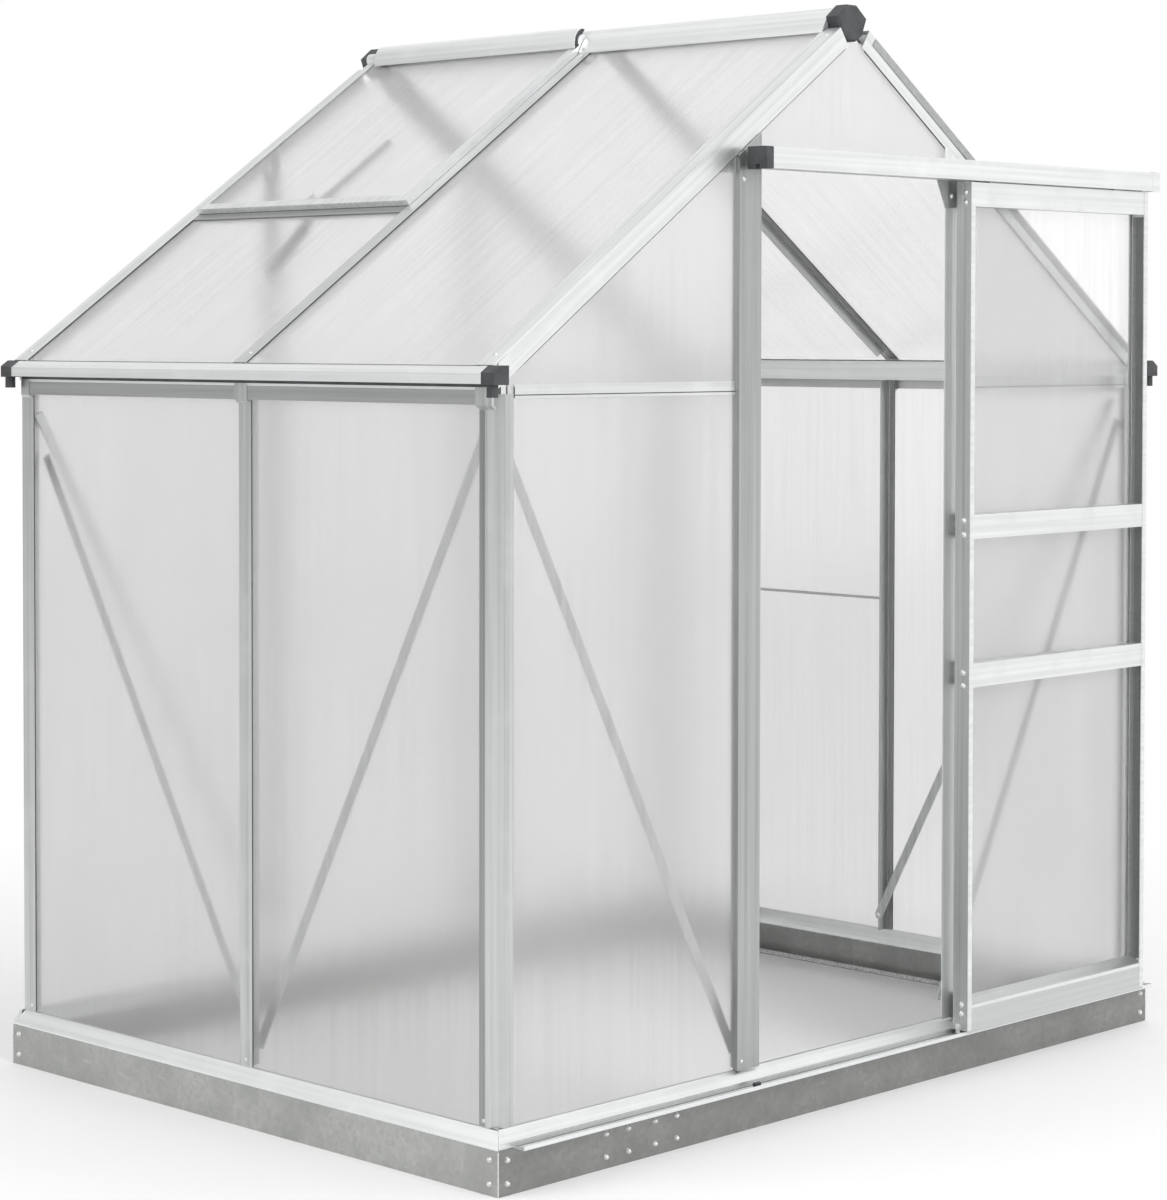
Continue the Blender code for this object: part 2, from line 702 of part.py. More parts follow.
def wall_sheet(name, side, y0, y1):
    """Sheet in one bay of a side wall."""
    xs = sorted((side * (SIDE_PLANE + SHEET_OUT), side * (SIDE_PLANE + SHEET_IN)))
    low = SILL_TOP - SILL_GROOVE + GAP
    add_object(name, box(xs[0], xs[1], y0, y1, low, EAVES_HEIGHT - 0.022), "twin_wall_sheet")


def gable_sheet(name, end, corners):
    """Sheet in a gable, from the corners given as x and height."""
    rings = []
    for out in (SHEET_OUT, SHEET_IN):
        rings.append([gable_point(end, x, out, z) for x, z in corners])
    add_object(name, swept(*rings), "twin_wall_sheet")


def under_roof(x):
    """Height of a gable sheet's edge under the roof."""
    return roof_level(x) - GABLE_CLEAR / ROOF_COS


def gable_sheets():
    """Two side sheets and the one over the doorway in front, one sheet behind."""
    low = SILL_TOP - SILL_GROOVE + GAP
    far = SIDE_PLANE - CORNER_SHEET_EDGE
    near = DOORWAY_HALF + DOOR_POST_WIDTH - DOOR_POST_SHEET_EDGE
    for side, name in ((-1, "panel_gable_left"), (1, "panel_gable_right")):
        gable_sheet(name, -1, [(side * far, low), (side * near, low), (side * near, under_roof(near)),
                               (side * far, under_roof(far))])
    crown = RIDGE_LEVEL - 0.055
    half = (RIDGE_LEVEL - GABLE_CLEAR / ROOF_COS - crown) / ROOF_TAN
    edge = DOORWAY_HALF + DOOR_POST_WIDTH - DOOR_POST_SHEET_EDGE - WALL - 2 * GAP
    gable_sheet("panel_gable_top", -1, [
        (-edge, TRACK_BOTTOM + 0.004), (edge, TRACK_BOTTOM + 0.004), (edge, under_roof(edge)),
        (half, crown), (-half, crown), (-edge, under_roof(edge))])
    gable_sheet("panel_rear", 1, [
        (-far, low), (far, low), (far, under_roof(far)), (half, crown), (-half, crown),
        (-far, under_roof(far))])


def roof_sheet(name, side, s0, s1, y0, y1):
    """Sheet in one bay of the roof."""
    deep = (WALL + GAP, WALL + GAP + SHEET)
    rings = []
    for along in (s0, s1):
        rings.append([slope_point(side, along, d, y) for d, y in
                      ((deep[0], y0), (deep[0], y1), (deep[1], y1), (deep[1], y0))])
    add_object(name, swept(*rings), "twin_wall_sheet")


def sheets():
    """All the sheets that don't move."""
    web = BAR_WEB / 2 + GAP
    middle = MID_POST_OFFSET
    front_edge = FRONT_PLANE + CORNER_SHEET_EDGE
    rear_edge = REAR_PLANE - CORNER_SHEET_EDGE
    for side, word in ((-1, "left"), (1, "right")):
        wall_sheet(f"panel_{word}_front", side, front_edge, middle - web)
        wall_sheet(f"panel_{word}_rear", side, middle + web, rear_edge)
    gable_sheets()
    top = 0.012
    end = ROOF_END - 0.002
    front_roof, rear_roof = verge_cut(-1) + GAP / 2, verge_cut(1) - GAP / 2
    roof_sheet("roof_panel_left_front", -1, top, end, front_roof + WALL, middle - web)
    roof_sheet("roof_panel_left_rear", -1, VENT_BOTTOM + 0.005, end, middle + web, rear_roof - WALL)
    roof_sheet("roof_panel_right_front", 1, top, end, front_roof + WALL, middle - web)
    roof_sheet("roof_panel_right_rear", 1, top, end, middle + web, rear_roof - WALL)


# Door track

def track_outline():
    """Hollow track, open below: the rollers run on its back ledge."""
    back = DOOR_POST_PROUD + GAP + TRACK_STANDOFF
    front = TRACK_FRONT
    low, high = TRACK_BOTTOM, TRACK_BOTTOM + TRACK_HEIGHT
    ledge = 0.0405
    slot = 0.0500
    return [
        (front, low), (front, high), (back, high), (back, low), (ledge, low), (ledge, low + WALL),
        (back + WALL, low + WALL), (back + WALL, high - WALL), (front - WALL, high - WALL),
        (front - WALL, low + WALL), (slot, low + WALL), (slot, low),
    ]


def track():
    """Top track with a spacer on each door post, and the caps that close its ends."""
    rings = [[gable_point(-1, x, out, z) for out, z in track_outline()] for x in (TRACK_LEFT, TRACK_RIGHT)]
    back, front = DOOR_POST_PROUD + GAP + TRACK_STANDOFF, TRACK_FRONT
    low, high = TRACK_BOTTOM, TRACK_BOTTOM + TRACK_HEIGHT
    solids = [swept(*rings)]
    for side in (-1, 1):
        x = side * (DOORWAY_HALF + 0.020)
        solids.append(box(x - 0.014, x + 0.014, FRONT_PLANE - back - WALL / 2, FRONT_PLANE - DOOR_POST_PROUD - GAP,
                          low + 0.008, high - 0.006))
    united("door_track", "aluminium", solids)
    plan = [(front, low - 0.001), (front, high), (front - 0.004, high + 0.001), (back, high + 0.001),
            (back, low - 0.001), (back + 0.018, low - 0.001), (back + 0.018, low + 0.007),
            (front - 0.018, low + 0.007), (front - 0.018, low - 0.001)]
    for name, side, x, long in (("track_cap_left", -1, TRACK_LEFT, 0.018), ("track_cap_right", 1, TRACK_RIGHT, 0.026)):
        rings = []
        for place in (x + side * GAP, x + side * (GAP + long)):
            rings.append([gable_point(-1, place, out, z) for out, z in plan])
        add_object(name, swept(*rings), "dark_plastic")


# Door

def door_point(across, out, z):
    """Point on the parked door: across from its left edge, out from the wall's face."""
    return gable_point(-1, DOOR_LEFT + across, out, z)


DOOR_FRONT = DOOR_BACK + DOOR_DEPTH
DOOR_SHEET_BACK = DOOR_BACK + WALL + GAP
DOOR_SHEET_FRONT = DOOR_SHEET_BACK + SHEET
DOOR_LIP = DOOR_SHEET_FRONT + GAP
DOOR_RAIL_FRONT = DOOR_FRONT - WALL / 2
RAIL_STEP = 0.0002
HANGER_OUT = 0.0435
HANGER_THICK = 0.003
ROLLER_Z = TRACK_BOTTOM + WALL + GAP + ROLLER_RADIUS


def stile_outline():
    """Door stile in plan: in from the door's edge, and out from the wall's face."""
    lip = 0.0015
    return [
        (0, DOOR_BACK), (0.020, DOOR_BACK), (0.020, DOOR_BACK + WALL), (WALL, DOOR_BACK + WALL),
        (WALL, DOOR_LIP), (0.014, DOOR_LIP), (0.014, DOOR_LIP + lip), (WALL, DOOR_LIP + lip),
        (WALL, DOOR_FRONT - WALL), (0.013, DOOR_FRONT - WALL), (0.013, DOOR_FRONT), (0, DOOR_FRONT),
    ]


def stile(mirror):
    """One upright of the door."""
    rings = []
    for z in (DOOR_BOTTOM, DOOR_TOP):
        ring = []
        for inward, out in stile_outline():
            across = DOOR_WIDTH - inward if mirror else inward
            ring.append(door_point(across, out, z))
        rings.append(ring)
    return swept(*rings)


def rail(outline):
    """Cross rail of the door between its stiles."""
    start, end = WALL / 2, DOOR_WIDTH - WALL / 2
    return swept(*[[door_point(across, out, z) for out, z in outline] for across in (start, end)])


def mid_rail_outline(middle):
    """Mid rail: an open channel in front, and a web and a strip behind that hold two sheets."""
    low, high = middle - DOOR_RAIL / 2, middle + DOOR_RAIL / 2
    web = 0.001
    tongue = 0.012
    back = DOOR_BACK + RAIL_STEP
    inner = DOOR_BACK + WALL + RAIL_STEP
    lip = DOOR_LIP + RAIL_STEP
    front = DOOR_RAIL_FRONT
    return [
        (front, low), (front, high), (lip, high), (lip, middle + web), (inner, middle + web),
        (inner, middle + tongue), (back, middle + tongue), (back, middle - tongue),
        (inner, middle - tongue), (inner, middle - web), (lip + WALL, middle - web),
        (lip + WALL, high - WALL), (front - WALL, high - WALL), (front - WALL, low + WALL),
        (lip, low + WALL), (lip, low),
    ]


def top_rail_outline():
    """Top rail: a face, a roof for the hangers and a lip over the top sheet."""
    low, high = DOOR_TOP - DOOR_RAIL, DOOR_TOP - RAIL_STEP
    front = DOOR_RAIL_FRONT
    back = DOOR_BACK + RAIL_STEP
    lip = DOOR_LIP + RAIL_STEP
    return [
        (front, low), (front, high), (back, high), (back, high - 0.014), (back + WALL, high - 0.014),
        (back + WALL, high - WALL), (front - WALL, high - WALL), (front - WALL, low + WALL),
        (lip, low + WALL), (lip, low),
    ]


def kick_rail_outline():
    """Bottom rail: a tall face with a sloped top, and a shelf under the lowest sheet."""
    low = DOOR_BOTTOM + RAIL_STEP
    high = low + 0.049
    front = DOOR_RAIL_FRONT
    back = DOOR_BACK + RAIL_STEP
    lip = DOOR_LIP + RAIL_STEP
    return [
        (front, low), (front, high), (lip, high + 0.013), (lip, high + 0.011),
        (front - WALL, high - 0.002), (front - WALL, low + WALL), (back + WALL, low + WALL),
        (back + WALL, low + 0.014), (back, low + 0.014), (back, low),
    ]


def hanger(across):
    """Hanger plate with the pin that its roller turns on."""
    half = 0.018
    out0, out1 = HANGER_OUT, HANGER_OUT + HANGER_THICK
    low, high = DOOR_TOP - WALL / 2, ROLLER_Z + 0.008
    outline = [(-half, low), (half, low), (half * 0.5, high), (-half * 0.5, high)]
    plate = swept(*[[door_point(across + a, out, z) for a, z in outline] for out in (out0, out1)])
    pin_end = HANGER_OUT - ROLLER_WIDTH - 3 * GAP
    pin = cylinder(door_point(across, HANGER_OUT + 0.001, ROLLER_Z),
                   door_point(across, pin_end - 0.001, ROLLER_Z), 0.0027, 16)
    head = cylinder(door_point(across, pin_end, ROLLER_Z),
                    door_point(across, pin_end - 0.002, ROLLER_Z), 0.0045, 12)
    return [plate, pin, head]


def door():
    """Sliding door, parked open in front of the right bay."""
    solids = [stile(False), stile(True), rail(top_rail_outline()), rail(kick_rail_outline())]
    solids += [rail(mid_rail_outline(z)) for z in (UPPER_RAIL_Z, LOWER_RAIL_Z)]
    places = (ROLLER_INSET, DOOR_WIDTH - ROLLER_INSET)
    for across in places:
        solids += hanger(across)
    lug = 0.006
    for edge in (-0.004, DOOR_WIDTH - lug):
        a0, a1 = DOOR_LEFT + edge, DOOR_LEFT + edge + lug + 0.004
        y = FRONT_PLANE - 0.037
        solids.append(box(a0, a1, y - 0.005, y + 0.005, BASE_HEIGHT + 0.0035, DOOR_BOTTOM + 0.012))
    united("door_frame", "aluminium", solids)
    for n, across in enumerate(places):
        name = ("door_roller_left", "door_roller_right")[n]
        axis = add_axis(f"{name}_axis", *door_point(across, HANGER_OUT, ROLLER_Z))
        roller(name, across, axis)
    web = 0.001 + GAP
    spans = (
        ("door_panel_top", UPPER_RAIL_Z + web, DOOR_TOP - WALL - 2 * GAP),
        ("door_panel_middle", LOWER_RAIL_Z + web, UPPER_RAIL_Z - web),
        ("door_panel_bottom", DOOR_BOTTOM + WALL + 2 * GAP, LOWER_RAIL_Z - web),
    )
    edge = WALL + GAP
    for name, low, high in spans:
        back, front = FRONT_PLANE - DOOR_SHEET_BACK, FRONT_PLANE - DOOR_SHEET_FRONT
        add_object(name, box(DOOR_LEFT + edge, DOOR_LEFT + DOOR_WIDTH - edge, front, back, low, high),
                   "twin_wall_sheet")


def roller(name, across, axis):
    """Roller with its bore, running on the track's ledge."""
    outs = (HANGER_OUT - GAP, HANGER_OUT - GAP - ROLLER_WIDTH)
    sides = 24
    bm = bmesh.new()
    rings = []
    for radius, out in ((0.0028, outs[0]), (ROLLER_RADIUS, outs[0]), (ROLLER_RADIUS, outs[1]), (0.0028, outs[1])):
        ring = []
        for n in range(sides):
            turn = 2 * math.pi * n / sides
            ring.append(bm.verts.new(door_point(across + radius * math.cos(turn), out,
                                                ROLLER_Z + radius * math.sin(turn))))
        rings.append(ring)
    for low, high in zip(rings, rings[1:] + rings[:1]):
        for n in range(sides):
            after = (n + 1) % sides
            bm.faces.new((low[n], low[after], high[after], high[n]))
    add_object(name, bm, "roller_plastic", axis)


# Roof vent

def vent_prism(outline, y0, y1):
    """Solid on the left slope from an outline of along and deep."""
    return swept(*[[slope_point(-1, along, deep, y) for along, deep in outline] for y in (y0, y1)])


def vent_side_bar(edge, inwards):
    """Side bar of the vent: an angle over the sheet's edge."""
    low, high = -2 * GAP, -2 * GAP - VENT_HEIGHT
    skin = 0.0018
    outline = [(0, low), (0, high), (VENT_BAR, high), (VENT_BAR, high + skin), (skin, high + skin), (skin, low)]
    rings = []
    for along in (VENT_HINGE_S + 0.004, VENT_BOTTOM - skin / 2):
        rings.append([slope_point(-1, along, deep, edge + inwards * y) for y, deep in outline])
    return swept(*rings)


def vent():
    """Top-hung vent: barrel, side bars, bottom rail and the lug for the opener."""
    hinge = slope_point(-1, VENT_HINGE_S, -VENT_HINGE_RISE, (VENT_FRONT + VENT_REAR) / 2)
    axis = add_axis("vent_axis", *hinge)
    low, high = -2 * GAP, -2 * GAP - VENT_HEIGHT
    skin = 0.0018
    barrel = cylinder(slope_point(-1, VENT_HINGE_S, -VENT_HINGE_RISE, VENT_FRONT + RAIL_STEP),
                      slope_point(-1, VENT_HINGE_S, -VENT_HINGE_RISE, VENT_REAR - RAIL_STEP), VENT_BARREL, 16)
    solids = [barrel]
    solids += [vent_side_bar(VENT_FRONT, 1), vent_side_bar(VENT_REAR, -1)]
    inner = VENT_BOTTOM - VENT_BAR
    low, high = low - RAIL_STEP, high + RAIL_STEP
    rail_outline = [(inner, high), (VENT_BOTTOM, high), (VENT_BOTTOM, low), (VENT_BOTTOM - skin, low),
                    (VENT_BOTTOM - skin, high + skin), (inner, high + skin)]
    solids.append(vent_prism(rail_outline, VENT_FRONT + skin / 2, VENT_REAR - skin / 2))
    tongue = -0.0050
    lug_y = UPPER_ARM_Y + ARM_THICK + GAP
    lug = [(VENT_BOTTOM - skin / 2, tongue), (VENT_BOTTOM - skin / 2, -0.0012), (OPENER_S + 0.010, -0.0012),
           (OPENER_S + 0.009, 0.022), (OPENER_S + 0.004, 0.027), (OPENER_S - 0.005, 0.027),
           (OPENER_S - 0.009, 0.022), (OPENER_S - 0.010, tongue)]
    solids.append(vent_prism(lug, lug_y - ARM_THICK / 2, lug_y + ARM_THICK / 2))
    solids.append(cylinder(slope_point(-1, OPENER_S, OPENER_DEEP, lug_y),
                           slope_point(-1, OPENER_S, OPENER_DEEP, UPPER_ARM_Y - ARM_THICK * 0.3), 0.0026, 12))
    united("vent_frame", "aluminium", solids, axis)
    roof = high + skin + GAP
    sheet_outline = [(VENT_HINGE_S + VENT_BARREL + 0.001, roof), (VENT_BOTTOM - skin - GAP, roof),
                     (VENT_BOTTOM - skin - GAP, roof + SHEET), (VENT_HINGE_S + VENT_BARREL + 0.001, roof + SHEET)]
    edge = skin + GAP
    add_object("vent_panel", vent_prism(sheet_outline, VENT_FRONT + edge, VENT_REAR - edge),
               "twin_wall_sheet", axis)


ARM_THICK = 0.003
OPENER_Y = (VENT_FRONT + VENT_REAR) / 2
LOWER_ARM_Y = OPENER_Y - ARM_THICK / 2 - GAP / 2
UPPER_ARM_Y = OPENER_Y + ARM_THICK / 2 + GAP / 2


def opener_arm(name, y):
    """Flat arm from its pivot to the knee, with a bore at the pivot."""
    width = 0.006
    outline = []
    for along, way in ((OPENER_S - OPENER_ARM, -1), (OPENER_S, 1)):
        for n in range(7):
            turn = math.pi * (n / 6 - 0.5)
            outline.append((along + way * width * math.cos(turn), OPENER_DEEP + way * width * math.sin(turn)))
    half = ARM_THICK / 2
    blade = vent_prism(outline, y - half, y + half)
    bore = cylinder(slope_point(-1, OPENER_S, OPENER_DEEP, y - ARM_THICK),
                    slope_point(-1, OPENER_S, OPENER_DEEP, y + ARM_THICK), 0.0028, 12)
    axis = add_axis(f"{name}_axis", *slope_point(-1, OPENER_S, OPENER_DEEP, y))
    united(name, "aluminium", [blade], axis, [bore])


def vent_sill():
    """Bar under the vent's lower edge, with the opener's bracket and wax cylinder."""
    s0, s1 = OPENER_S + 0.016, VENT_BOTTOM + 0.020
    web = VENT_BOTTOM + 0.001
    under = 2 * WALL + 2 * GAP + SHEET
    outline = [(s0, GAP), (s1, GAP), (s1, WALL), (web + WALL, WALL), (web + WALL, under - WALL),
               (s1, under - WALL), (s1, under), (web + WALL, under), (web + WALL, 0.024),
               (web, 0.024), (web, WALL), (s0 + WALL, WALL), (s0 + WALL, 0.012), (s0, 0.012)]
    y0 = MID_POST_OFFSET + BAR_WIDTH / 2 + GAP
    y1 = REAR_PLANE + VERGE_PROUD - VERGE_WIDTH - GAP
    solids = [vent_prism(outline, y0, y1)]
    cheek_y = LOWER_ARM_Y - ARM_THICK - GAP
    cheek = [(web + WALL / 2, 0.004), (web + WALL / 2, 0.044), (OPENER_S - 0.002, 0.028),
             (OPENER_S - 0.008, 0.021), (OPENER_S - 0.002, 0.013), (s0 + 0.001, 0.011), (s0 + 0.001, 0.004)]
    solids.append(vent_prism(cheek, cheek_y - ARM_THICK / 2, cheek_y + ARM_THICK / 2))
    solids.append(cylinder(slope_point(-1, OPENER_S, OPENER_DEEP, cheek_y),
                           slope_point(-1, OPENER_S, OPENER_DEEP, LOWER_ARM_Y + ARM_THICK * 0.3), 0.0026, 12))
    tilt = math.radians(12)
    start = (web - 0.004, 0.036)
    end = (start[0] + CYLINDER_LENGTH * math.cos(tilt), start[1] + CYLINDER_LENGTH * math.sin(tilt))
    solids.append(cylinder(slope_point(-1, *start, OPENER_Y), slope_point(-1, *end, OPENER_Y),
                           CYLINDER_RADIUS, 16))
    united("vent_sill", "aluminium", solids)


def build():
    """Make every piece of the greenhouse."""
    for old in list(bpy.data.objects):
        bpy.data.objects.remove(old, do_unlink=True)
    sides = ((-1, "left"), (1, "right"))
    ends = ((-1, "front"), (1, "rear"))
    for side, word in sides:
        base_side(f"base_{word}", side)
        side_sill(f"sill_{word}", side)
        side_post(f"side_post_{word}", side)
        door_post(f"door_post_{word}", side)
        gutter(f"gutter_{word}", side)
        gable_bar(f"gable_bar_{word}", side)
        side_braces("braces_left" if side < 0 else "brace_right", side)
        gable_brace(f"gable_brace_{word}", side)
        for end, place in ends:
            corner_post(f"corner_post_{place}_{word}", side, end)
            gutter_cap(f"gutter_cap_{place}_{word}", side, end)
    for end, place in ends:
        base_end(f"base_{place}", end)
        rafter_pair(f"rafters_{place}", verge_outline(end))
        ridge_cap(f"ridge_cap_{place}", end)
    rafter_pair("rafters_middle", middle_rafter_outline)
    door_sill()
    rear_gable_frame()
    ridge()
    sheets()
    track()
    door()
    vent_sill()
    vent()
    opener_arm("opener_lower_arm", LOWER_ARM_Y)
    opener_arm("opener_upper_arm", UPPER_ARM_Y)


build()
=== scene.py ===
"""Finishes, fasteners, trim, floor, light and camera of the greenhouse, in metres."""
import math

import bmesh
import bpy
from mathutils import Matrix, Vector


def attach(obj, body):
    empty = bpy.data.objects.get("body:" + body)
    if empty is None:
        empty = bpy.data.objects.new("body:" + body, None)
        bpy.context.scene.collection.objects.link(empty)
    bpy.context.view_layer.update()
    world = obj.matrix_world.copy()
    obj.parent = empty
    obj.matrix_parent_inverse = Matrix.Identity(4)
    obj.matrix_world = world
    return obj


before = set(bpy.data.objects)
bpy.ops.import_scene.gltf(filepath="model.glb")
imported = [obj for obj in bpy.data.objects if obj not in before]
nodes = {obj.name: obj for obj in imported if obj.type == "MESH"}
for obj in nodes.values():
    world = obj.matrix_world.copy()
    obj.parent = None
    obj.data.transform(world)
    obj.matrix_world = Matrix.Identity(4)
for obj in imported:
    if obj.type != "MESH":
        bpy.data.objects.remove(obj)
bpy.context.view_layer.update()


# Base
# Four channels folded from hot-dip galvanised sheet, mitred and bolted together at the corners.
# The front one is spliced from two lengths over a plate, and it is painted a darker grey for shade. Every
# head is a zinc-plated bolt, and the foot of each channel is folded up into a small lip; the lip's
# brightness and the bright lines on the corner edges are painted highlights.

class Graph:
    """The nodes of one material, or of one shader group."""

    def __init__(self, name, group=False):
        if group:
            self.tree = bpy.data.node_groups.new(name, "ShaderNodeTree")
        else:
            self.material = bpy.data.materials.new(name)
            self.material.use_nodes = True
            self.tree = self.material.node_tree
            self.shader = self.tree.nodes["Principled BSDF"]

    def node(self, kind, **settings):
        made = self.tree.nodes.new(kind)
        for key, value in settings.items():
            setattr(made, key, value)
        return made

    def put(self, target, value):
        if hasattr(value, "links"):
            self.tree.links.new(value, target)
        else:
            target.default_value = value

    def place(self, scale=(1, 1, 1), turn=(0, 0, 0), fold=False):
        """Coordinates on the piece, turned and then scaled; folded ones are alike on both slopes."""
        source = self.node("ShaderNodeTexCoord").outputs["Object"]
        if fold:
            mirrored = self.node("ShaderNodeVectorMath", operation="ABSOLUTE")
            self.put(mirrored.inputs[0], source)
            source = mirrored.outputs[0]
        turned = self.node("ShaderNodeMapping")
        turned.inputs["Rotation"].default_value = turn
        self.put(turned.inputs["Vector"], source)
        scaled = self.node("ShaderNodeMapping")
        scaled.inputs["Scale"].default_value = scale
        self.put(scaled.inputs["Vector"], turned.outputs[0])
        return scaled.outputs[0]

    def noise(self, where, scale=1.0, detail=3.0, rough=0.5):
        made = self.node("ShaderNodeTexNoise")
        self.put(made.inputs["Vector"], where)
        made.inputs["Scale"].default_value = scale
        made.inputs["Detail"].default_value = detail
        made.inputs["Roughness"].default_value = rough
        return made.outputs["Fac"]

    def remap(self, value, low, high, out_low, out_high):
        made = self.node("ShaderNodeMapRange")
        for key, number in (("Value", value), ("From Min", low), ("From Max", high), ("To Min", out_low),
                            ("To Max", out_high)):
            self.put(made.inputs[key], number)
        return made.outputs["Result"]

    def math(self, operation, a, b):
        made = self.node("ShaderNodeMath", operation=operation)
        self.put(made.inputs[0], a)
        self.put(made.inputs[1], b)
        return made.outputs[0]

    def blend(self, factor, a, b):
        made = self.node("ShaderNodeMix", data_type="RGBA")
        self.put(made.inputs["Factor"], factor)
        self.put(made.inputs[6], a)
        self.put(made.inputs[7], b)
        return made.outputs[2]

    def bump(self, height, distance, strength=1.0):
        made = self.node("ShaderNodeBump")
        made.inputs["Distance"].default_value = distance
        made.inputs["Strength"].default_value = strength
        self.put(made.inputs["Height"], height)
        self.put(self.shader.inputs["Normal"], made.outputs[0])


def cloud_group():
    """Soft cloudy mask: metal, sheet and plastic all carry it at their own scale."""
    g = Graph("soft_cloud", group=True)
    face = g.tree.interface
    face.new_socket("Vector", in_out="INPUT", socket_type="NodeSocketVector")
    for label in ("Scale", "From", "To"):
        face.new_socket(label, in_out="INPUT", socket_type="NodeSocketFloat")
    face.new_socket("Mask", in_out="OUTPUT", socket_type="NodeSocketFloat")
    entry = g.node("NodeGroupInput")
    way_out = g.node("NodeGroupOutput")
    noise = g.node("ShaderNodeTexNoise")
    noise.inputs["Detail"].default_value = 5
    noise.inputs["Roughness"].default_value = 0.58
    g.put(noise.inputs["Vector"], entry.outputs["Vector"])
    g.put(noise.inputs["Scale"], entry.outputs["Scale"])
    mask = g.remap(noise.outputs["Fac"], entry.outputs["From"], entry.outputs["To"], 0.0, 1.0)
    g.put(way_out.inputs["Mask"], mask)
    return g.tree


CLOUD = cloud_group()


def cloud(g, where, scale, low, high):
    """Place the cloudy mask in a material."""
    made = g.node("ShaderNodeGroup")
    made.node_tree = CLOUD
    g.put(made.inputs["Vector"], where)
    for label, number in (("Scale", scale), ("From", low), ("To", high)):
        made.inputs[label].default_value = number
    return made.outputs["Mask"]


def galvanised(name, tone):
    """Hot-dip zinc: faint crystal spangle under a grey patina, with paler rubs."""
    def grey(level):
        return (level * tone * 0.985, level * tone, level * tone * 0.970, 1)
    g = Graph(name)
    where = g.place()
    cells = g.node("ShaderNodeTexVoronoi")
    g.put(cells.inputs["Vector"], where)
    cells.inputs["Scale"].default_value = 105
    split = g.node("ShaderNodeSeparateColor")
    g.put(split.inputs[0], cells.outputs["Color"])
    colour = g.blend(split.outputs[0], grey(0.47), grey(0.54))
    colour = g.blend(g.math("MULTIPLY", cloud(g, where, 9, 0.42, 0.66), 0.60), colour, grey(0.37))
    rubbed = cloud(g, g.place((16, 16, 70)), 1, 0.60, 0.76)
    colour = g.blend(g.math("MULTIPLY", rubbed, 0.40), colour, grey(0.66))
    g.put(g.shader.inputs["Base Color"], colour)
    g.shader.inputs["Metallic"].default_value = 0.75
    g.put(g.shader.inputs["Roughness"], g.remap(split.outputs[1], 0, 1, 0.46, 0.54))
    g.bump(cells.outputs["Distance"], 0.0002, 0.4)
    return g.material


def zinc_plate():
    """Bright zinc: the plating on bolts and nuts, and a painted highlight on the folded lips and corner
    edges.
    """
    g = Graph("zinc_plate")
    mask = cloud(g, g.place(), 150, 0.35, 0.65)
    g.put(g.shader.inputs["Base Color"], g.blend(mask, (0.66, 0.66, 0.66, 1), (0.90, 0.90, 0.90, 1)))
    g.shader.inputs["Metallic"].default_value = 0.9
    g.put(g.shader.inputs["Roughness"], g.remap(mask, 0, 1, 0.24, 0.42))
    return g.material


def bolt_tree():
    """Round head on a washer at every point of a mesh, turned along its outward attribute."""
    tree = bpy.data.node_groups.new("bolt_heads", "GeometryNodeTree")
    face = tree.interface
    face.new_socket("Geometry", in_out="INPUT", socket_type="NodeSocketGeometry")
    for label in ("Radius", "Height", "Washer"):
        face.new_socket(label, in_out="INPUT", socket_type="NodeSocketFloat")
    face.new_socket("Finish", in_out="INPUT", socket_type="NodeSocketMaterial")
    face.new_socket("Geometry", in_out="OUTPUT", socket_type="NodeSocketGeometry")
    add, link = tree.nodes.new, tree.links.new
    entry, way_out = add("NodeGroupInput"), add("NodeGroupOutput")
    dome = add("GeometryNodeMeshUVSphere")
    dome.inputs["Segments"].default_value = 12
    dome.inputs["Rings"].default_value = 8
    dome.inputs["Radius"].default_value = 1.0
    sizes = add("ShaderNodeCombineXYZ")
    for n, label in enumerate(("Radius", "Radius", "Height")):
        link(entry.outputs[label], sizes.inputs[n])
    shaped = add("GeometryNodeTransform")
    link(dome.outputs["Mesh"], shaped.inputs["Geometry"])
    link(sizes.outputs[0], shaped.inputs["Scale"])
    washer = add("GeometryNodeMeshCylinder")
    washer.inputs["Vertices"].default_value = 16
    washer.inputs["Depth"].default_value = 0.0016
    link(entry.outputs["Washer"], washer.inputs["Radius"])
    head = add("GeometryNodeJoinGeometry")
    link(shaped.outputs[0], head.inputs[0])
    link(washer.outputs["Mesh"], head.inputs[0])
    outward = add("GeometryNodeInputNamedAttribute")
    outward.data_type = "FLOAT_VECTOR"
    outward.inputs["Name"].default_value = "outward"
    turn = add("FunctionNodeAlignRotationToVector")
    turn.axis = "Z"
    link(outward.outputs["Attribute"], turn.inputs["Vector"])
    spread = add("GeometryNodeInstanceOnPoints")
    link(entry.outputs["Geometry"], spread.inputs["Points"])
    link(head.outputs[0], spread.inputs["Instance"])
    link(turn.outputs["Rotation"], spread.inputs["Rotation"])
    real = add("GeometryNodeRealizeInstances")
    link(spread.outputs[0], real.inputs[0])
    painted = add("GeometryNodeSetMaterial")
    link(real.outputs[0], painted.inputs["Geometry"])
    link(entry.outputs["Finish"], painted.inputs["Material"])
    link(painted.outputs[0], way_out.inputs[0])
    return tree


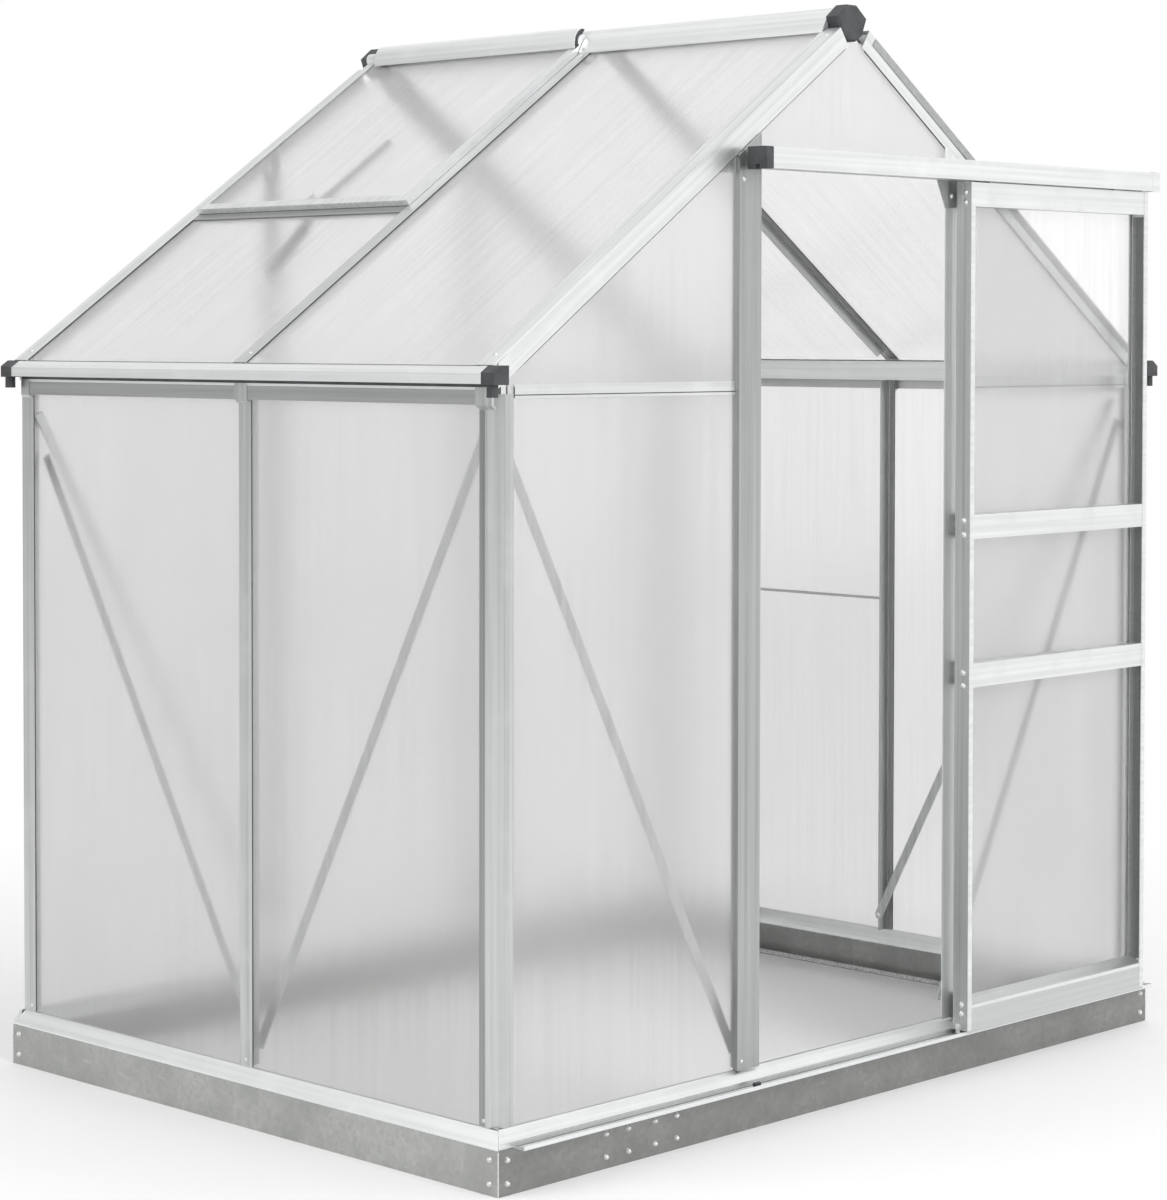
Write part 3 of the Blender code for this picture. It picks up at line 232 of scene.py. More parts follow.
def grown(name, points, edges, tree, values, body, outward=None, smooth=False):
    """Run a tree on points and edges, keep the result as a plain mesh and fix it to its body."""
    seed = bpy.data.meshes.new(name)
    seed.from_pydata([tuple(p) for p in points], edges, [])
    if outward:
        layer = seed.attributes.new("outward", "FLOAT_VECTOR", "POINT")
        for n, way in enumerate(outward):
            layer.data[n].vector = way
    made = bpy.data.objects.new(name, seed)
    bpy.context.collection.objects.link(made)
    change = made.modifiers.new("shape", "NODES")
    change.node_group = tree
    for item in tree.interface.items_tree:
        if item.in_out == "INPUT" and item.name in values:
            change[item.identifier] = values[item.name]
    bpy.context.view_layer.update()
    result = bpy.data.meshes.new_from_object(made.evaluated_get(bpy.context.evaluated_depsgraph_get()))
    made.modifiers.clear()
    made.data = result
    result.name = name
    for face in result.polygons:
        face.use_smooth = smooth
    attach(made, body)
    return made


def bead_tree():
    """Round bead swept along the edges of a mesh, its ends closed."""
    tree = bpy.data.node_groups.new("bead", "GeometryNodeTree")
    face = tree.interface
    face.new_socket("Geometry", in_out="INPUT", socket_type="NodeSocketGeometry")
    face.new_socket("Radius", in_out="INPUT", socket_type="NodeSocketFloat")
    face.new_socket("Finish", in_out="INPUT", socket_type="NodeSocketMaterial")
    face.new_socket("Geometry", in_out="OUTPUT", socket_type="NodeSocketGeometry")
    add, link = tree.nodes.new, tree.links.new
    entry, way_out = add("NodeGroupInput"), add("NodeGroupOutput")
    path = add("GeometryNodeMeshToCurve")
    link(entry.outputs["Geometry"], path.inputs["Mesh"])
    section = add("GeometryNodeCurvePrimitiveCircle")
    section.inputs["Resolution"].default_value = 8
    link(entry.outputs["Radius"], section.inputs["Radius"])
    sweep = add("GeometryNodeCurveToMesh")
    link(path.outputs["Curve"], sweep.inputs["Curve"])
    link(section.outputs["Curve"], sweep.inputs["Profile Curve"])
    sweep.inputs["Fill Caps"].default_value = True
    real = add("GeometryNodeRealizeInstances")
    link(sweep.outputs[0], real.inputs[0])
    painted = add("GeometryNodeSetMaterial")
    link(real.outputs[0], painted.inputs["Geometry"])
    link(entry.outputs["Finish"], painted.inputs["Material"])
    link(painted.outputs[0], way_out.inputs[0])
    return tree


STEEL = galvanised("galvanised_steel", 1.0)
# The front channel is the same galvanised steel at 0.60 of its tone: painted shade.
STEEL_SHADED = galvanised("galvanised_painted_shade", 0.60)
ZINC = zinc_plate()
BOLTS = bolt_tree()
BEAD = bead_tree()


def bolts(name, places, body="frame", radius=0.0042, height=0.0030, washer=0.0060):
    """Bolt heads on washers at each (point, outward) place."""
    sizes = {"Radius": radius, "Height": height, "Washer": washer, "Finish": ZINC}
    points = [point for point, way in places]
    ways = [way for point, way in places]
    return grown(name, points, [], BOLTS, sizes, body, ways, True)


def beads(name, runs, radius, finish):
    """Beads along straight runs, each a start and an end."""
    points = [p for run in runs for p in run]
    edges = [(2 * n, 2 * n + 1) for n in range(len(runs))]
    return grown(name, points, edges, BEAD, {"Radius": radius, "Finish": finish}, "frame")


def skin(bm, rings):
    """Add a closed skin through rings of points."""
    loops = [[bm.verts.new(point) for point in ring] for ring in rings]
    count = len(loops[0])
    faces = []
    for low, high in zip(loops, loops[1:]):
        for n in range(count):
            after = (n + 1) % count
            faces.append(bm.faces.new((low[n], low[after], high[after], high[n])))
    faces.append(bm.faces.new(loops[0][::-1]))
    faces.append(bm.faces.new(loops[-1]))
    bmesh.ops.recalc_face_normals(bm, faces=faces)


def bar(bm, start, end, across, width, thick):
    """Add a straight flat bar with eased long edges: across is the direction of its width."""
    start, end, across = Vector(start), Vector(end), Vector(across).normalized()
    up = (end - start).normalized().cross(across).normalized()
    ease = min(width, thick) * 0.25
    w, t = width / 2, thick / 2
    outline = [(-w + ease, -t), (w - ease, -t), (w, -t + ease), (w, t - ease),
               (w - ease, t), (-w + ease, t), (-w, t - ease), (-w, -t + ease)]
    skin(bm, [[at + across * a + up * b for a, b in outline] for at in (start, end)])


def solid(name, bm, finish, body="frame"):
    """Turn a bmesh into a piece that rides on its body."""
    mesh = bpy.data.meshes.new(name)
    bm.to_mesh(mesh)
    bm.free()
    mesh.materials.append(finish)
    made = bpy.data.objects.new(name, mesh)
    bpy.context.collection.objects.link(made)
    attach(made, body)
    return made


def dress(finish, *names):
    """Give solids of the part their finish."""
    for name in names:
        nodes[name].data.materials.clear()
        nodes[name].data.materials.append(finish)


# The front channel takes the darker copy: painted shade.
dress(STEEL_SHADED, "base_front")
dress(STEEL, "base_rear", "base_left", "base_right")
HALF_X = 0.950
FRONT_FACE = -0.6736
REAR_FACE = 0.7114
BOLT_LEVELS = (0.0203, 0.0608)
BOLT_INSET = 0.021
SPLICE_X = -0.600
SPLICE_OFFSETS = (-0.090, -0.034, 0.034, 0.090)
base_places = []
for z in BOLT_LEVELS:
    for side in (-1, 1):
        for y in (FRONT_FACE + BOLT_INSET, REAR_FACE - BOLT_INSET):
            base_places.append(((side * HALF_X, y, z), (side, 0, 0)))
        for y, way in ((FRONT_FACE, -1), (REAR_FACE, 1)):
            base_places.append(((side * (HALF_X - BOLT_INSET), y, z), (0, way, 0)))
    for y, way, middle in ((FRONT_FACE, -1, SPLICE_X), (REAR_FACE, 1, -SPLICE_X)):
        for offset in SPLICE_OFFSETS:
            base_places.append(((middle + offset, y, z), (0, way, 0)))
bolts("base_bolts", base_places, radius=0.0052, height=0.0058, washer=0.0056)

# Bright zinc beads on the corner edges: a painted highlight along the mitres.
SEAM_X = 0.9497
SEAM_IN = 0.0002
SEAM_FOOT = 0.001
SEAM_HEAD = 0.0770
seams = []
for side in (-1, 1):
    for y in (FRONT_FACE + SEAM_IN, REAR_FACE - SEAM_IN):
        seams.append(((side * SEAM_X, y, SEAM_FOOT), (side * SEAM_X, y, SEAM_HEAD)))
beads("base_corner_edges", seams, 0.0010, ZINC)

# The foot lips carry bright zinc: a painted highlight on the folded lip.
FOOT_WIDTH = 0.0291
FOOT_LIP_LEVEL = 0.0062
FOOT_LIP_HEIGHT = 0.0088
FOOT_LIP_THICK = 0.0012
FOOT_LIP_END = 0.034
REAR_LIP_HALF = 0.9150
lip_runs = [((side * (HALF_X - FOOT_WIDTH), FRONT_FACE + FOOT_LIP_END),
             (side * (HALF_X - FOOT_WIDTH), REAR_FACE - FOOT_LIP_END)) for side in (-1, 1)]
lip_runs.append(((-REAR_LIP_HALF, REAR_FACE - FOOT_WIDTH), (REAR_LIP_HALF, REAR_FACE - FOOT_WIDTH)))
foot_lips = bmesh.new()
for start, end in lip_runs:
    bar(foot_lips, (*start, FOOT_LIP_LEVEL), (*end, FOOT_LIP_LEVEL), (0, 0, 1), FOOT_LIP_HEIGHT,
        FOOT_LIP_THICK)
solid("base_foot_lips", foot_lips, ZINC)


# Sills, posts and glazing bars
# Extruded aluminium as it leaves the mill: sills with a drip edge, chamfered corner posts and T bars.
# They stand in the sills and are bolted through small slots; thin black beads along their edges on the
# sheets are painted shadow lines in the gaps there.

def finish_group():
    """Drawn aluminium: lines along the bar, soft bands across it, pale stains and rubbed marks."""
    g = Graph("drawn_bar", group=True)
    face = g.tree.interface
    for label in ("Fine", "Wide", "Place"):
        face.new_socket(label, in_out="INPUT", socket_type="NodeSocketVector")
    for label in ("Low", "High", "Stain"):
        face.new_socket(label, in_out="INPUT", socket_type="NodeSocketColor")
    face.new_socket("Color", in_out="OUTPUT", socket_type="NodeSocketColor")
    face.new_socket("Roughness", in_out="OUTPUT", socket_type="NodeSocketFloat")
    face.new_socket("Height", in_out="OUTPUT", socket_type="NodeSocketFloat")
    entry = g.node("NodeGroupInput")
    way_out = g.node("NodeGroupOutput")
    lines = g.noise(entry.outputs["Fine"], detail=3)
    bands = g.noise(entry.outputs["Wide"], detail=3)
    marks = g.noise(entry.outputs["Place"], 190, detail=2)
    stains = g.remap(g.noise(entry.outputs["Place"], 11, 5, 0.62), 0.50, 0.72, 0.0, 0.55)
    colour = g.blend(g.remap(bands, 0.32, 0.68, 0.0, 1.0), entry.outputs["Low"], entry.outputs["High"])
    colour = g.blend(stains, colour, entry.outputs["Stain"])
    rubbed = g.remap(marks, 0.60, 0.76, 0.0, 1.0)
    rough = g.math("ADD", g.remap(lines, 0.3, 0.7, 0.30, 0.42), g.math("MULTIPLY", rubbed, 0.10))
    g.put(way_out.inputs["Color"], colour)
    g.put(way_out.inputs["Roughness"], rough)
    g.put(way_out.inputs["Height"], g.math("ADD", lines, g.math("MULTIPLY", bands, 0.5)))
    return g.tree


DRAWN = finish_group()
ROOF_TAN = 0.694
SLOPE_TURN = (0, -math.atan(ROOF_TAN), 0)


def mill_finish(name, along, fold=False, low=0.50, high=0.64, stain=0.66):
    """Extruded bar whose drawing lines run along the given axis."""
    g = Graph(name)
    fine = [900.0] * 3
    wide = [110.0] * 3
    fine[along] = 5.0
    wide[along] = 1.2
    turn = SLOPE_TURN if fold else (0, 0, 0)
    made = g.node("ShaderNodeGroup")
    made.node_tree = DRAWN
    g.put(made.inputs["Fine"], g.place(fine, turn, fold))
    g.put(made.inputs["Wide"], g.place(wide, turn, fold))
    g.put(made.inputs["Place"], g.place())
    for label, tone in (("Low", low), ("High", high), ("Stain", stain)):
        made.inputs[label].default_value = (tone * 0.985, tone, tone, 1)
    g.put(g.shader.inputs["Base Color"], made.outputs["Color"])
    g.put(g.shader.inputs["Roughness"], made.outputs["Roughness"])
    g.shader.inputs["Metallic"].default_value = 0.9
    g.bump(made.outputs["Height"], 0.00010, 0.5)
    return g.material


# Lighter copies of the one mill finish are painted light: on the gable bars, the verges and vent frame, the
# sills, gutters, ridge and hinge hood, and the door track.
ALU_X = mill_finish("mill_finish_x_painted_light", 0, False, 0.66, 0.80, 0.86)
ALU_Y = mill_finish("mill_finish_y", 1)
ALU_Z = mill_finish("mill_finish_z", 2)
LIT_X = mill_finish("mill_painted_light_x", 0, False, 0.78, 0.92, 0.95)
LIT_Y = mill_finish("mill_painted_light_y", 1, False, 0.84, 0.96, 0.97)
SHADED_X = mill_finish("shaded_finish_x", 0, False, 0.24, 0.32, 0.28)
dress(LIT_X, "door_sill")
dress(LIT_Y, "sill_left", "sill_right")
dress(ALU_Z, "corner_post_front_left", "corner_post_front_right", "corner_post_rear_left",
      "corner_post_rear_right", "side_post_left", "side_post_right")
# The left door post is darkened, painted shade; the right one is lightened against the shadow the door casts
# on it, painted light.
dress(mill_finish("door_post_painted_shade", 2, False, 0.38, 0.50, 0.46), "door_post_left")
dress(mill_finish("door_post_painted_light", 2, False, 0.80, 0.92, 0.88), "door_post_right")
dress(ALU_X, "gable_bar_left", "gable_bar_right")
dress(mill_finish("gable_finish", 2, False, 0.72, 0.76, 0.76), "rear_gable_frame")


def moulded(name, dark, light, rough):
    """Moulded plastic, or the dark of painted shadow lines: fine grain and slight rubbing."""
    g = Graph(name)
    grain = g.noise(g.place((700, 700, 700)), detail=3)
    g.put(g.shader.inputs["Base Color"], g.blend(cloud(g, g.place(), 32, 0.35, 0.7), dark, light))
    g.put(g.shader.inputs["Roughness"], g.remap(grain, 0.3, 0.7, rough - 0.07, rough + 0.08))
    g.bump(grain, 0.00012, 0.6)
    return g.material


DARK = moulded("dark_plastic", (0.034, 0.037, 0.040, 1), (0.066, 0.071, 0.076, 1), 0.5)
# The dark of the beads is painted shadow: the lines where bars meet the sheets.
SHADOW_LINE = moulded("painted_shadow_line", (0.050, 0.053, 0.056, 1), (0.085, 0.090, 0.094, 1), 0.7)
SIDE_PLANE = 0.932
FRONT_PLANE = -0.6496
REAR_PLANE = 0.7014
POST_FOOT = 0.108
POST_HEAD = 1.3450
LEG = 0.041
MID_Y = 0.0089
BAR_HALF = 0.0175
BEAD_IN = 0.0016
GABLE_BAR_LEVEL = 1.3436
GABLE_BAR_INNER = 0.3320
GABLE_BAR_OUTER = 0.8900
SLOT_X = 0.8902
SLOT_OUT = 0.0004
SLOT_FOOT = 1.3390
SLOT_HEAD = 1.3580
# Dark beads on the post edges, under the gable bars and in the bolt slots: painted shadow lines.
wall_runs = []
for side in (-1, 1):
    x = side * (SIDE_PLANE - BEAD_IN)
    for y in (FRONT_PLANE + LEG, MID_Y - BAR_HALF, MID_Y + BAR_HALF, REAR_PLANE - LEG):
        wall_runs.append(((x, y, POST_FOOT), (x, y, POST_HEAD)))
    for plane, way in ((FRONT_PLANE, 1), (REAR_PLANE, -1)):
        y = plane + way * BEAD_IN
        edge = side * (SIDE_PLANE - LEG)
        wall_runs.append(((edge, y, POST_FOOT), (edge, y, POST_HEAD)))
    wall_runs.append(((side * GABLE_BAR_INNER, FRONT_PLANE, GABLE_BAR_LEVEL),
                      (side * GABLE_BAR_OUTER, FRONT_PLANE, GABLE_BAR_LEVEL)))
    wall_runs.append(((side * SLOT_X, FRONT_PLANE - SLOT_OUT, SLOT_FOOT),
                      (side * SLOT_X, FRONT_PLANE - SLOT_OUT, SLOT_HEAD)))
beads("wall_beads", wall_runs, 0.0009, SHADOW_LINE)

STRIP_THICK = 0.0006
# Two dark strips on the floor of the door guide's groove: painted shade in the groove.
GROOVE_LEVEL = 0.0806
GROOVE_WIDTH = 0.0065
GROOVE_LEFT = -0.9150
GROOVE_RIGHT = 0.9310
groove = bmesh.new()
for y in (-0.6752, -0.6945):
    bar(groove, (GROOVE_LEFT, y, GROOVE_LEVEL), (GROOVE_RIGHT, y, GROOVE_LEVEL), (0, 1, 0), GROOVE_WIDTH,
        STRIP_THICK)
solid("guide_groove_shade_strips", groove, SHADED_X)

# A dark strip on each front corner post's side face: painted shade of its recessed flange.
RECESS_Y = FRONT_PLANE + 0.0345
RECESS_WIDTH = 0.012
RECESS_HEAD = 1.3190
recess = bmesh.new()
for side in (-1, 1):
    x = side * (SIDE_PLANE + 0.0003)
    bar(recess, (x, RECESS_Y, POST_FOOT), (x, RECESS_Y, RECESS_HEAD), (0, 1, 0), RECESS_WIDTH, STRIP_THICK)
solid("corner_recess_strips", recess, mill_finish("recess_painted_shade", 2, False, 0.30, 0.40, 0.34))

FOOT_BOLT_Z = 0.118
HEAD_BOLT_Z = 1.325
REAR_CORNER_BOLT_X = 0.910
REAR_POST_BOLT_X = 0.2915
DOOR_POST_BOLT = (0.318, FRONT_PLANE - 0.009, 0.122)
post_places = []
for side in (-1, 1):
    for z in (FOOT_BOLT_Z, HEAD_BOLT_Z):
        post_places.append(((side * SIDE_PLANE, MID_Y, z), (side, 0, 0)))
        post_places.append(((side * REAR_CORNER_BOLT_X, REAR_PLANE, z), (0, 1, 0)))
        post_places.append(((side * REAR_POST_BOLT_X, REAR_PLANE, z), (0, 1, 0)))
    post_places.append(((side * SIDE_PLANE, FRONT_PLANE + 0.030, FOOT_BOLT_Z), (side, 0, 0)))
    post_places.append(((side * SIDE_PLANE, REAR_PLANE - 0.028, FOOT_BOLT_Z), (side, 0, 0)))
    x, y, z = DOOR_POST_BOLT
    post_places.append(((side * x, y, z), (0, -1, 0)))
bolts("post_bolts", post_places, radius=0.0026, height=0.0018, washer=0.0038)


# Braces
# Flat aluminium straps behind the sheets, from the foot of one bar to the head of the next.
# Each end is flattened on a washer and bolted to the web behind it. A thin strip covers the joint of
# the two sheets in the rear bay on the right.

dress(ALU_Z, "braces_left", "brace_right", "gable_brace_left", "gable_brace_right")
BRACE_X = 0.8977
BRACE_FOOT = (0.0090, 0.1400)
BRACE_FRONT_HEAD = (-0.6060, 1.3120)
BRACE_REAR_HEAD = (0.6590, 1.2020)
GABLE_BRACE_Y = -0.6233
GABLE_BRACE_ENDS = ((0.3090, 0.1400), (0.8960, 1.2660))
brace_places = []
for y, z in (BRACE_FOOT, BRACE_FRONT_HEAD, BRACE_REAR_HEAD):
    brace_places.append(((-BRACE_X, y, z), (1, 0, 0)))
for y, z in (BRACE_FOOT, BRACE_FRONT_HEAD):
    brace_places.append(((BRACE_X, y, z), (-1, 0, 0)))
for side in (-1, 1):
    for x, z in GABLE_BRACE_ENDS:
        brace_places.append(((side * x, GABLE_BRACE_Y, z), (0, 1, 0)))
bolts("brace_bolts", brace_places, radius=0.0040, height=0.0034, washer=0.0062)

JOINT_X = 0.9235
JOINT_Z = 0.8540
strip = bmesh.new()
bar(strip, (JOINT_X, 0.0110, JOINT_Z), (JOINT_X, 0.6728, JOINT_Z), (0, 0, 1), 0.006, 0.0036)
solid("right_joint_strip", strip, ALU_Y)


# Eaves
# Beam and gutter in one aluminium extrusion on each side wall, with a rolled lip.
# Dark moulded caps with a short down spout are pushed on its ends.

# The gutters take the lightest copy: painted light.
dress(LIT_Y, "gutter_left", "gutter_right")
dress(DARK, "gutter_cap_front_left", "gutter_cap_front_right", "gutter_cap_rear_left",
      "gutter_cap_rear_right")
# A darker copy of the mill finish: painted shade under the gutter and along the right verge's edge; the vent
# sill takes the same dark.
DARK_BAND = mill_finish("dark_band_and_shade", 1, False, 0.40, 0.50, 0.46)
BEAM_OUT = SIDE_PLANE + 0.008
EAVES_START = -0.6484
EAVES_END = 0.6862
EAVES_THICK = 0.0012
HEAD_COVER = [(0.0003, 1.3200), (0.0012, 1.3200), (0.0102, 1.3266), (0.0102, 1.3572), (0.0094, 1.3572),
              (0.0094, 1.3262), (0.0003, 1.3262)]
POST_SPANS = ((EAVES_START, FRONT_PLANE + LEG), (MID_Y - BAR_HALF, MID_Y + BAR_HALF),
              (REAR_PLANE - LEG, EAVES_END))
# Under the gutter: a dark line of painted shadow, a bright strip as the lip's painted highlight, and a
# darker band of painted shade on the beam.
for name, level, height, out, finish, slot in (
        ("eaves_shadow_line", 1.3600, 0.0050, 0.0008, DARK, "dark_plastic"),
        ("eaves_lip", 1.3552, 0.0040, 0.0010, LIT_Y, "aluminium"),
        ("eaves_band", 1.3398, 0.0250, 0.0006, DARK_BAND, "aluminium")):
    eaves = bmesh.new()
    for side in (-1, 1):
        x = side * (BEAM_OUT + out)
        bar(eaves, (x, EAVES_START, level), (x, EAVES_END, level), (0, 0, 1), height, EAVES_THICK)
    solid(name, eaves, finish)
heads = bmesh.new()
for side in (-1, 1):
    for span in POST_SPANS:
        skin(heads, [[(side * (SIDE_PLANE + out), y, z) for out, z in HEAD_COVER] for y in span])
solid("post_head_covers", heads, ALU_Z)


# Roof bars and ridge
# Three pairs of aluminium rafters, the two verges wider, meeting under a folded ridge capping.
# Thin black beads along their edges on the sheets are painted shadow lines, and faceted moulded caps close
# the ridge.

# The verges and vent frame take a lighter copy of the mill finish: painted light.
ALU_SLOPE = mill_finish("mill_finish_slope_painted_light", 0, True, 0.74, 0.88, 0.92)
dress(ALU_SLOPE, "rafters_front", "rafters_rear")
dress(mill_finish("glazing_bar_slope", 0, True, 0.58, 0.70, 0.74), "rafters_middle")
dress(LIT_Y, "ridge")
dress(DARK, "ridge_cap_front", "ridge_cap_rear")
RIDGE_LEVEL = 2.050
ROOF_COS = 1 / math.hypot(1, ROOF_TAN)
ROOF_SIN = ROOF_TAN * ROOF_COS


def slope(side, along, deep, y):
    """Point on a roof slope: along from the ridge, deep below its outer plane."""
    x = along * ROOF_COS - deep * ROOF_SIN
    return (side * x, y, RIDGE_LEVEL - along * ROOF_SIN - deep * ROOF_COS)


def outward(side):
    """Direction that a roof slope faces."""
    return (side * ROOF_SIN, 0, ROOF_COS)


VERGE_FOOT = [(0.8720, 1.4401), (0.8720, 1.3962), (0.9315, 1.3549), (0.9315, 1.3988)]
VERGE_IN = 0.0022
VERGE_OUT = 0.0046
feet = bmesh.new()
for side in (-1, 1):
    for span in ((FRONT_PLANE - VERGE_OUT, FRONT_PLANE - VERGE_IN),
                 (REAR_PLANE + VERGE_IN, REAR_PLANE + VERGE_OUT)):
        skin(feet, [[(side * x, y, z) for x, z in VERGE_FOOT] for y in span])
solid("verge_feet", feet, ALU_SLOPE)

# A dark strip along the right front verge's lower edge: painted shade.
EDGE_Y = FRONT_PLANE - 0.0050
EDGE_DEEP = 0.0095
edge = bmesh.new()
bar(edge, slope(1, 0.075, EDGE_DEEP, EDGE_Y), slope(1, 1.100, EDGE_DEEP, EDGE_Y), outward(1), 0.0160, 0.0008)
solid("verge_edge_right", edge, DARK_BAND)

# Dark beads along the rafters' edges on the roof sheets: painted shadow lines.
ROOF_BEAD_ROWS = (-0.6114, MID_Y - BAR_HALF, MID_Y + BAR_HALF, 0.6632)
VERGE_BEAD_DEEP = 0.0402
roof_runs = []
for side in (-1, 1):
    for y in ROOF_BEAD_ROWS:
        roof_runs.append((slope(side, 0.060, BEAD_IN, y), slope(side, 1.146, BEAD_IN, y)))
    for y in (FRONT_PLANE - 0.0028, REAR_PLANE + 0.0028):
        roof_runs.append((slope(side, 0.062, VERGE_BEAD_DEEP, y), slope(side, 1.108, VERGE_BEAD_DEEP, y)))
beads("roof_beads", roof_runs, 0.0014, SHADOW_LINE)

RAFTER_LINES = (FRONT_PLANE + 0.016, MID_Y, REAR_PLANE - 0.016)
RAFTER_BOLTS_ALONG = (0.074, 1.118)
rafter_places = []
for side in (-1, 1):
    for y in RAFTER_LINES:
        for along in RAFTER_BOLTS_ALONG:
            rafter_places.append((slope(side, along, 0, y), outward(side)))
bolts("rafter_bolts", rafter_places, radius=0.0026, height=0.0018, washer=0.0038)


# Sheets
# Twin-wall polycarbonate, 4 mm thick, its flutes upright in the walls and down the slope in the roof.
# It is milky: what stands close behind it shows softly, and what stands further off only faintly.

FLUTE = 0.006


def twin_wall(name, across, fold, tone, rough):
    """Milky sheet whose flutes lie side by side along the given axis."""
    def grey(level):
        return (level, level, level, 1)
    g = Graph(name)
    turn = SLOPE_TURN if fold else (0, 0, 0)
    split = g.node("ShaderNodeSeparateXYZ")
    g.put(split.inputs[0], g.place((1, 1, 1), turn, fold))
    wave = g.math("SINE", g.math("MULTIPLY", split.outputs[across], 2 * math.pi / FLUTE), 0.0)
    rib = g.remap(wave, 0.2, 1.0, 0.0, 1.0)
    streak_scale = [2.2] * 3
    streak_scale[across] = 90.0
    streaks = g.noise(g.place(streak_scale, turn, fold), detail=2)
    colour = g.blend(cloud(g, g.place(), 2.4, 0.35, 0.65), grey(tone - 0.012), grey(tone + 0.012))
    colour = g.blend(g.math("MULTIPLY", rib, 0.55), colour, grey(tone - 0.10))
    colour = g.blend(g.remap(streaks, 0.40, 0.68, 0.0, 0.30), colour, grey(tone - 0.10))
    g.put(g.shader.inputs["Base Color"], colour)
    g.put(g.shader.inputs["Roughness"], g.remap(streaks, 0.3, 0.7, rough - 0.02, rough + 0.02))
    g.shader.inputs["Transmission Weight"].default_value = 0.90
    g.shader.inputs["IOR"].default_value = 1.40
    g.bump(wave, 0.00020, 0.05)
    return g.material


# The one sheet in several tones, painted light and shade: lighter on the gable, door and roof, darker at the
# rear and on the right rear.
dress(twin_wall("twin_wall_gable", 0, False, 0.985, 0.19), "panel_gable_left", "panel_gable_right",
      "panel_gable_top", "door_panel_bottom", "door_panel_middle", "door_panel_top")
dress(twin_wall("twin_wall_rear", 0, False, 0.900, 0.17), "panel_rear")
dress(twin_wall("twin_wall_side", 1, False, 0.950, 0.17), "panel_left_front", "panel_left_rear")
dress(twin_wall("twin_wall_side_painted_shade", 1, False, 0.915, 0.17), "panel_right_rear")
dress(twin_wall("twin_wall_side_painted_light", 1, False, 0.970, 0.17), "panel_right_front")
dress(twin_wall("twin_wall_roof", 1, True, 0.980, 0.14), "roof_panel_left_front", "roof_panel_left_rear",
      "roof_panel_right_front", "roof_panel_right_rear", "vent_panel")


# Door and its tracks
# Aluminium stiles and rails round three sheets, hung from a hollow top track on two rollers.
# Zinc bolts hold the rails through the stiles, and plates carry the track on the door posts.

# The door's rails and its track take lighter copies of the mill finish: painted light.
dress(mill_finish("rail_painted_light", 0, False, 0.78, 0.90, 0.72), "door_frame")
dress(LIT_X, "door_track", "track_cap_right")
dress(DARK, "track_cap_left")
dress(moulded("roller_plastic", (0.62, 0.62, 0.58, 1), (0.75, 0.75, 0.71, 1), 0.45),
      "door_roller_left", "door_roller_right")
DOOR_LEFT = 0.290
DOOR_RIGHT = 0.890
DOOR_BOLT_Y = -0.6930
DOOR_BOLT_LEVELS = (1.0848, 1.0575, 0.7883, 0.7630, 0.1377, 0.1196, 1.7230, 1.7035)
door_places = []
for z in DOOR_BOLT_LEVELS:
    door_places.append(((DOOR_LEFT, DOOR_BOLT_Y, z), (-1, 0, 0)))
    door_places.append(((DOOR_RIGHT, DOOR_BOLT_Y, z), (1, 0, 0)))
bolts("door_bolts", door_places, "door", 0.0046, 0.0036, 0.0060)

track_end = bmesh.new()
bar(track_end, (0.8780, -0.7180, 1.7826), (0.9050, -0.7180, 1.7826), (0, 0, 1), 0.0036, 0.0016)
bar(track_end, (0.9130, -0.7120, 1.7560), (0.9130, -0.7120, 1.7780), (1, 0, 0), 0.0070, 0.0136)
solid("track_end_trim", track_end, DARK)

# Thin darker faces on the stiles' sides: painted shade.
STILE_Y = -0.6896
STILE_DEPTH = 0.0350
stiles = bmesh.new()
for x in (DOOR_LEFT - 0.0004, DOOR_RIGHT + 0.0004):
    bar(stiles, (x, STILE_Y, 0.0895), (x, STILE_Y, 1.7425), (0, 1, 0), STILE_DEPTH, STRIP_THICK)
solid("stile_sides", stiles, mill_finish("stile_side_painted_shade", 2, False, 0.42, 0.60, 0.52), "door")

# A very dark face inside the right stile: painted shade.
INNER_X = DOOR_RIGHT - 0.0023
INNER_Y = -0.6915
inner = bmesh.new()
bar(inner, (INNER_X, INNER_Y, 0.1450), (INNER_X, INNER_Y, 1.6920), (0, 1, 0), 0.0240, STRIP_THICK)
solid("stile_inside", inner, mill_finish("stile_inside_painted_shade", 2, False, 0.20, 0.28, 0.24), "door")

# A darker face on the kick rail: painted shade.
KICK_Y = -0.7069
KICK_Z = 0.1062
kick = bmesh.new()
bar(kick, (DOOR_LEFT + 0.0010, KICK_Y, KICK_Z), (DOOR_RIGHT - 0.0010, KICK_Y, KICK_Z), (0, 0, 1), 0.0480,
    0.0005)
solid("kick_face", kick, mill_finish("kick_painted_shade", 0, False, 0.60, 0.66, 0.62), "door")

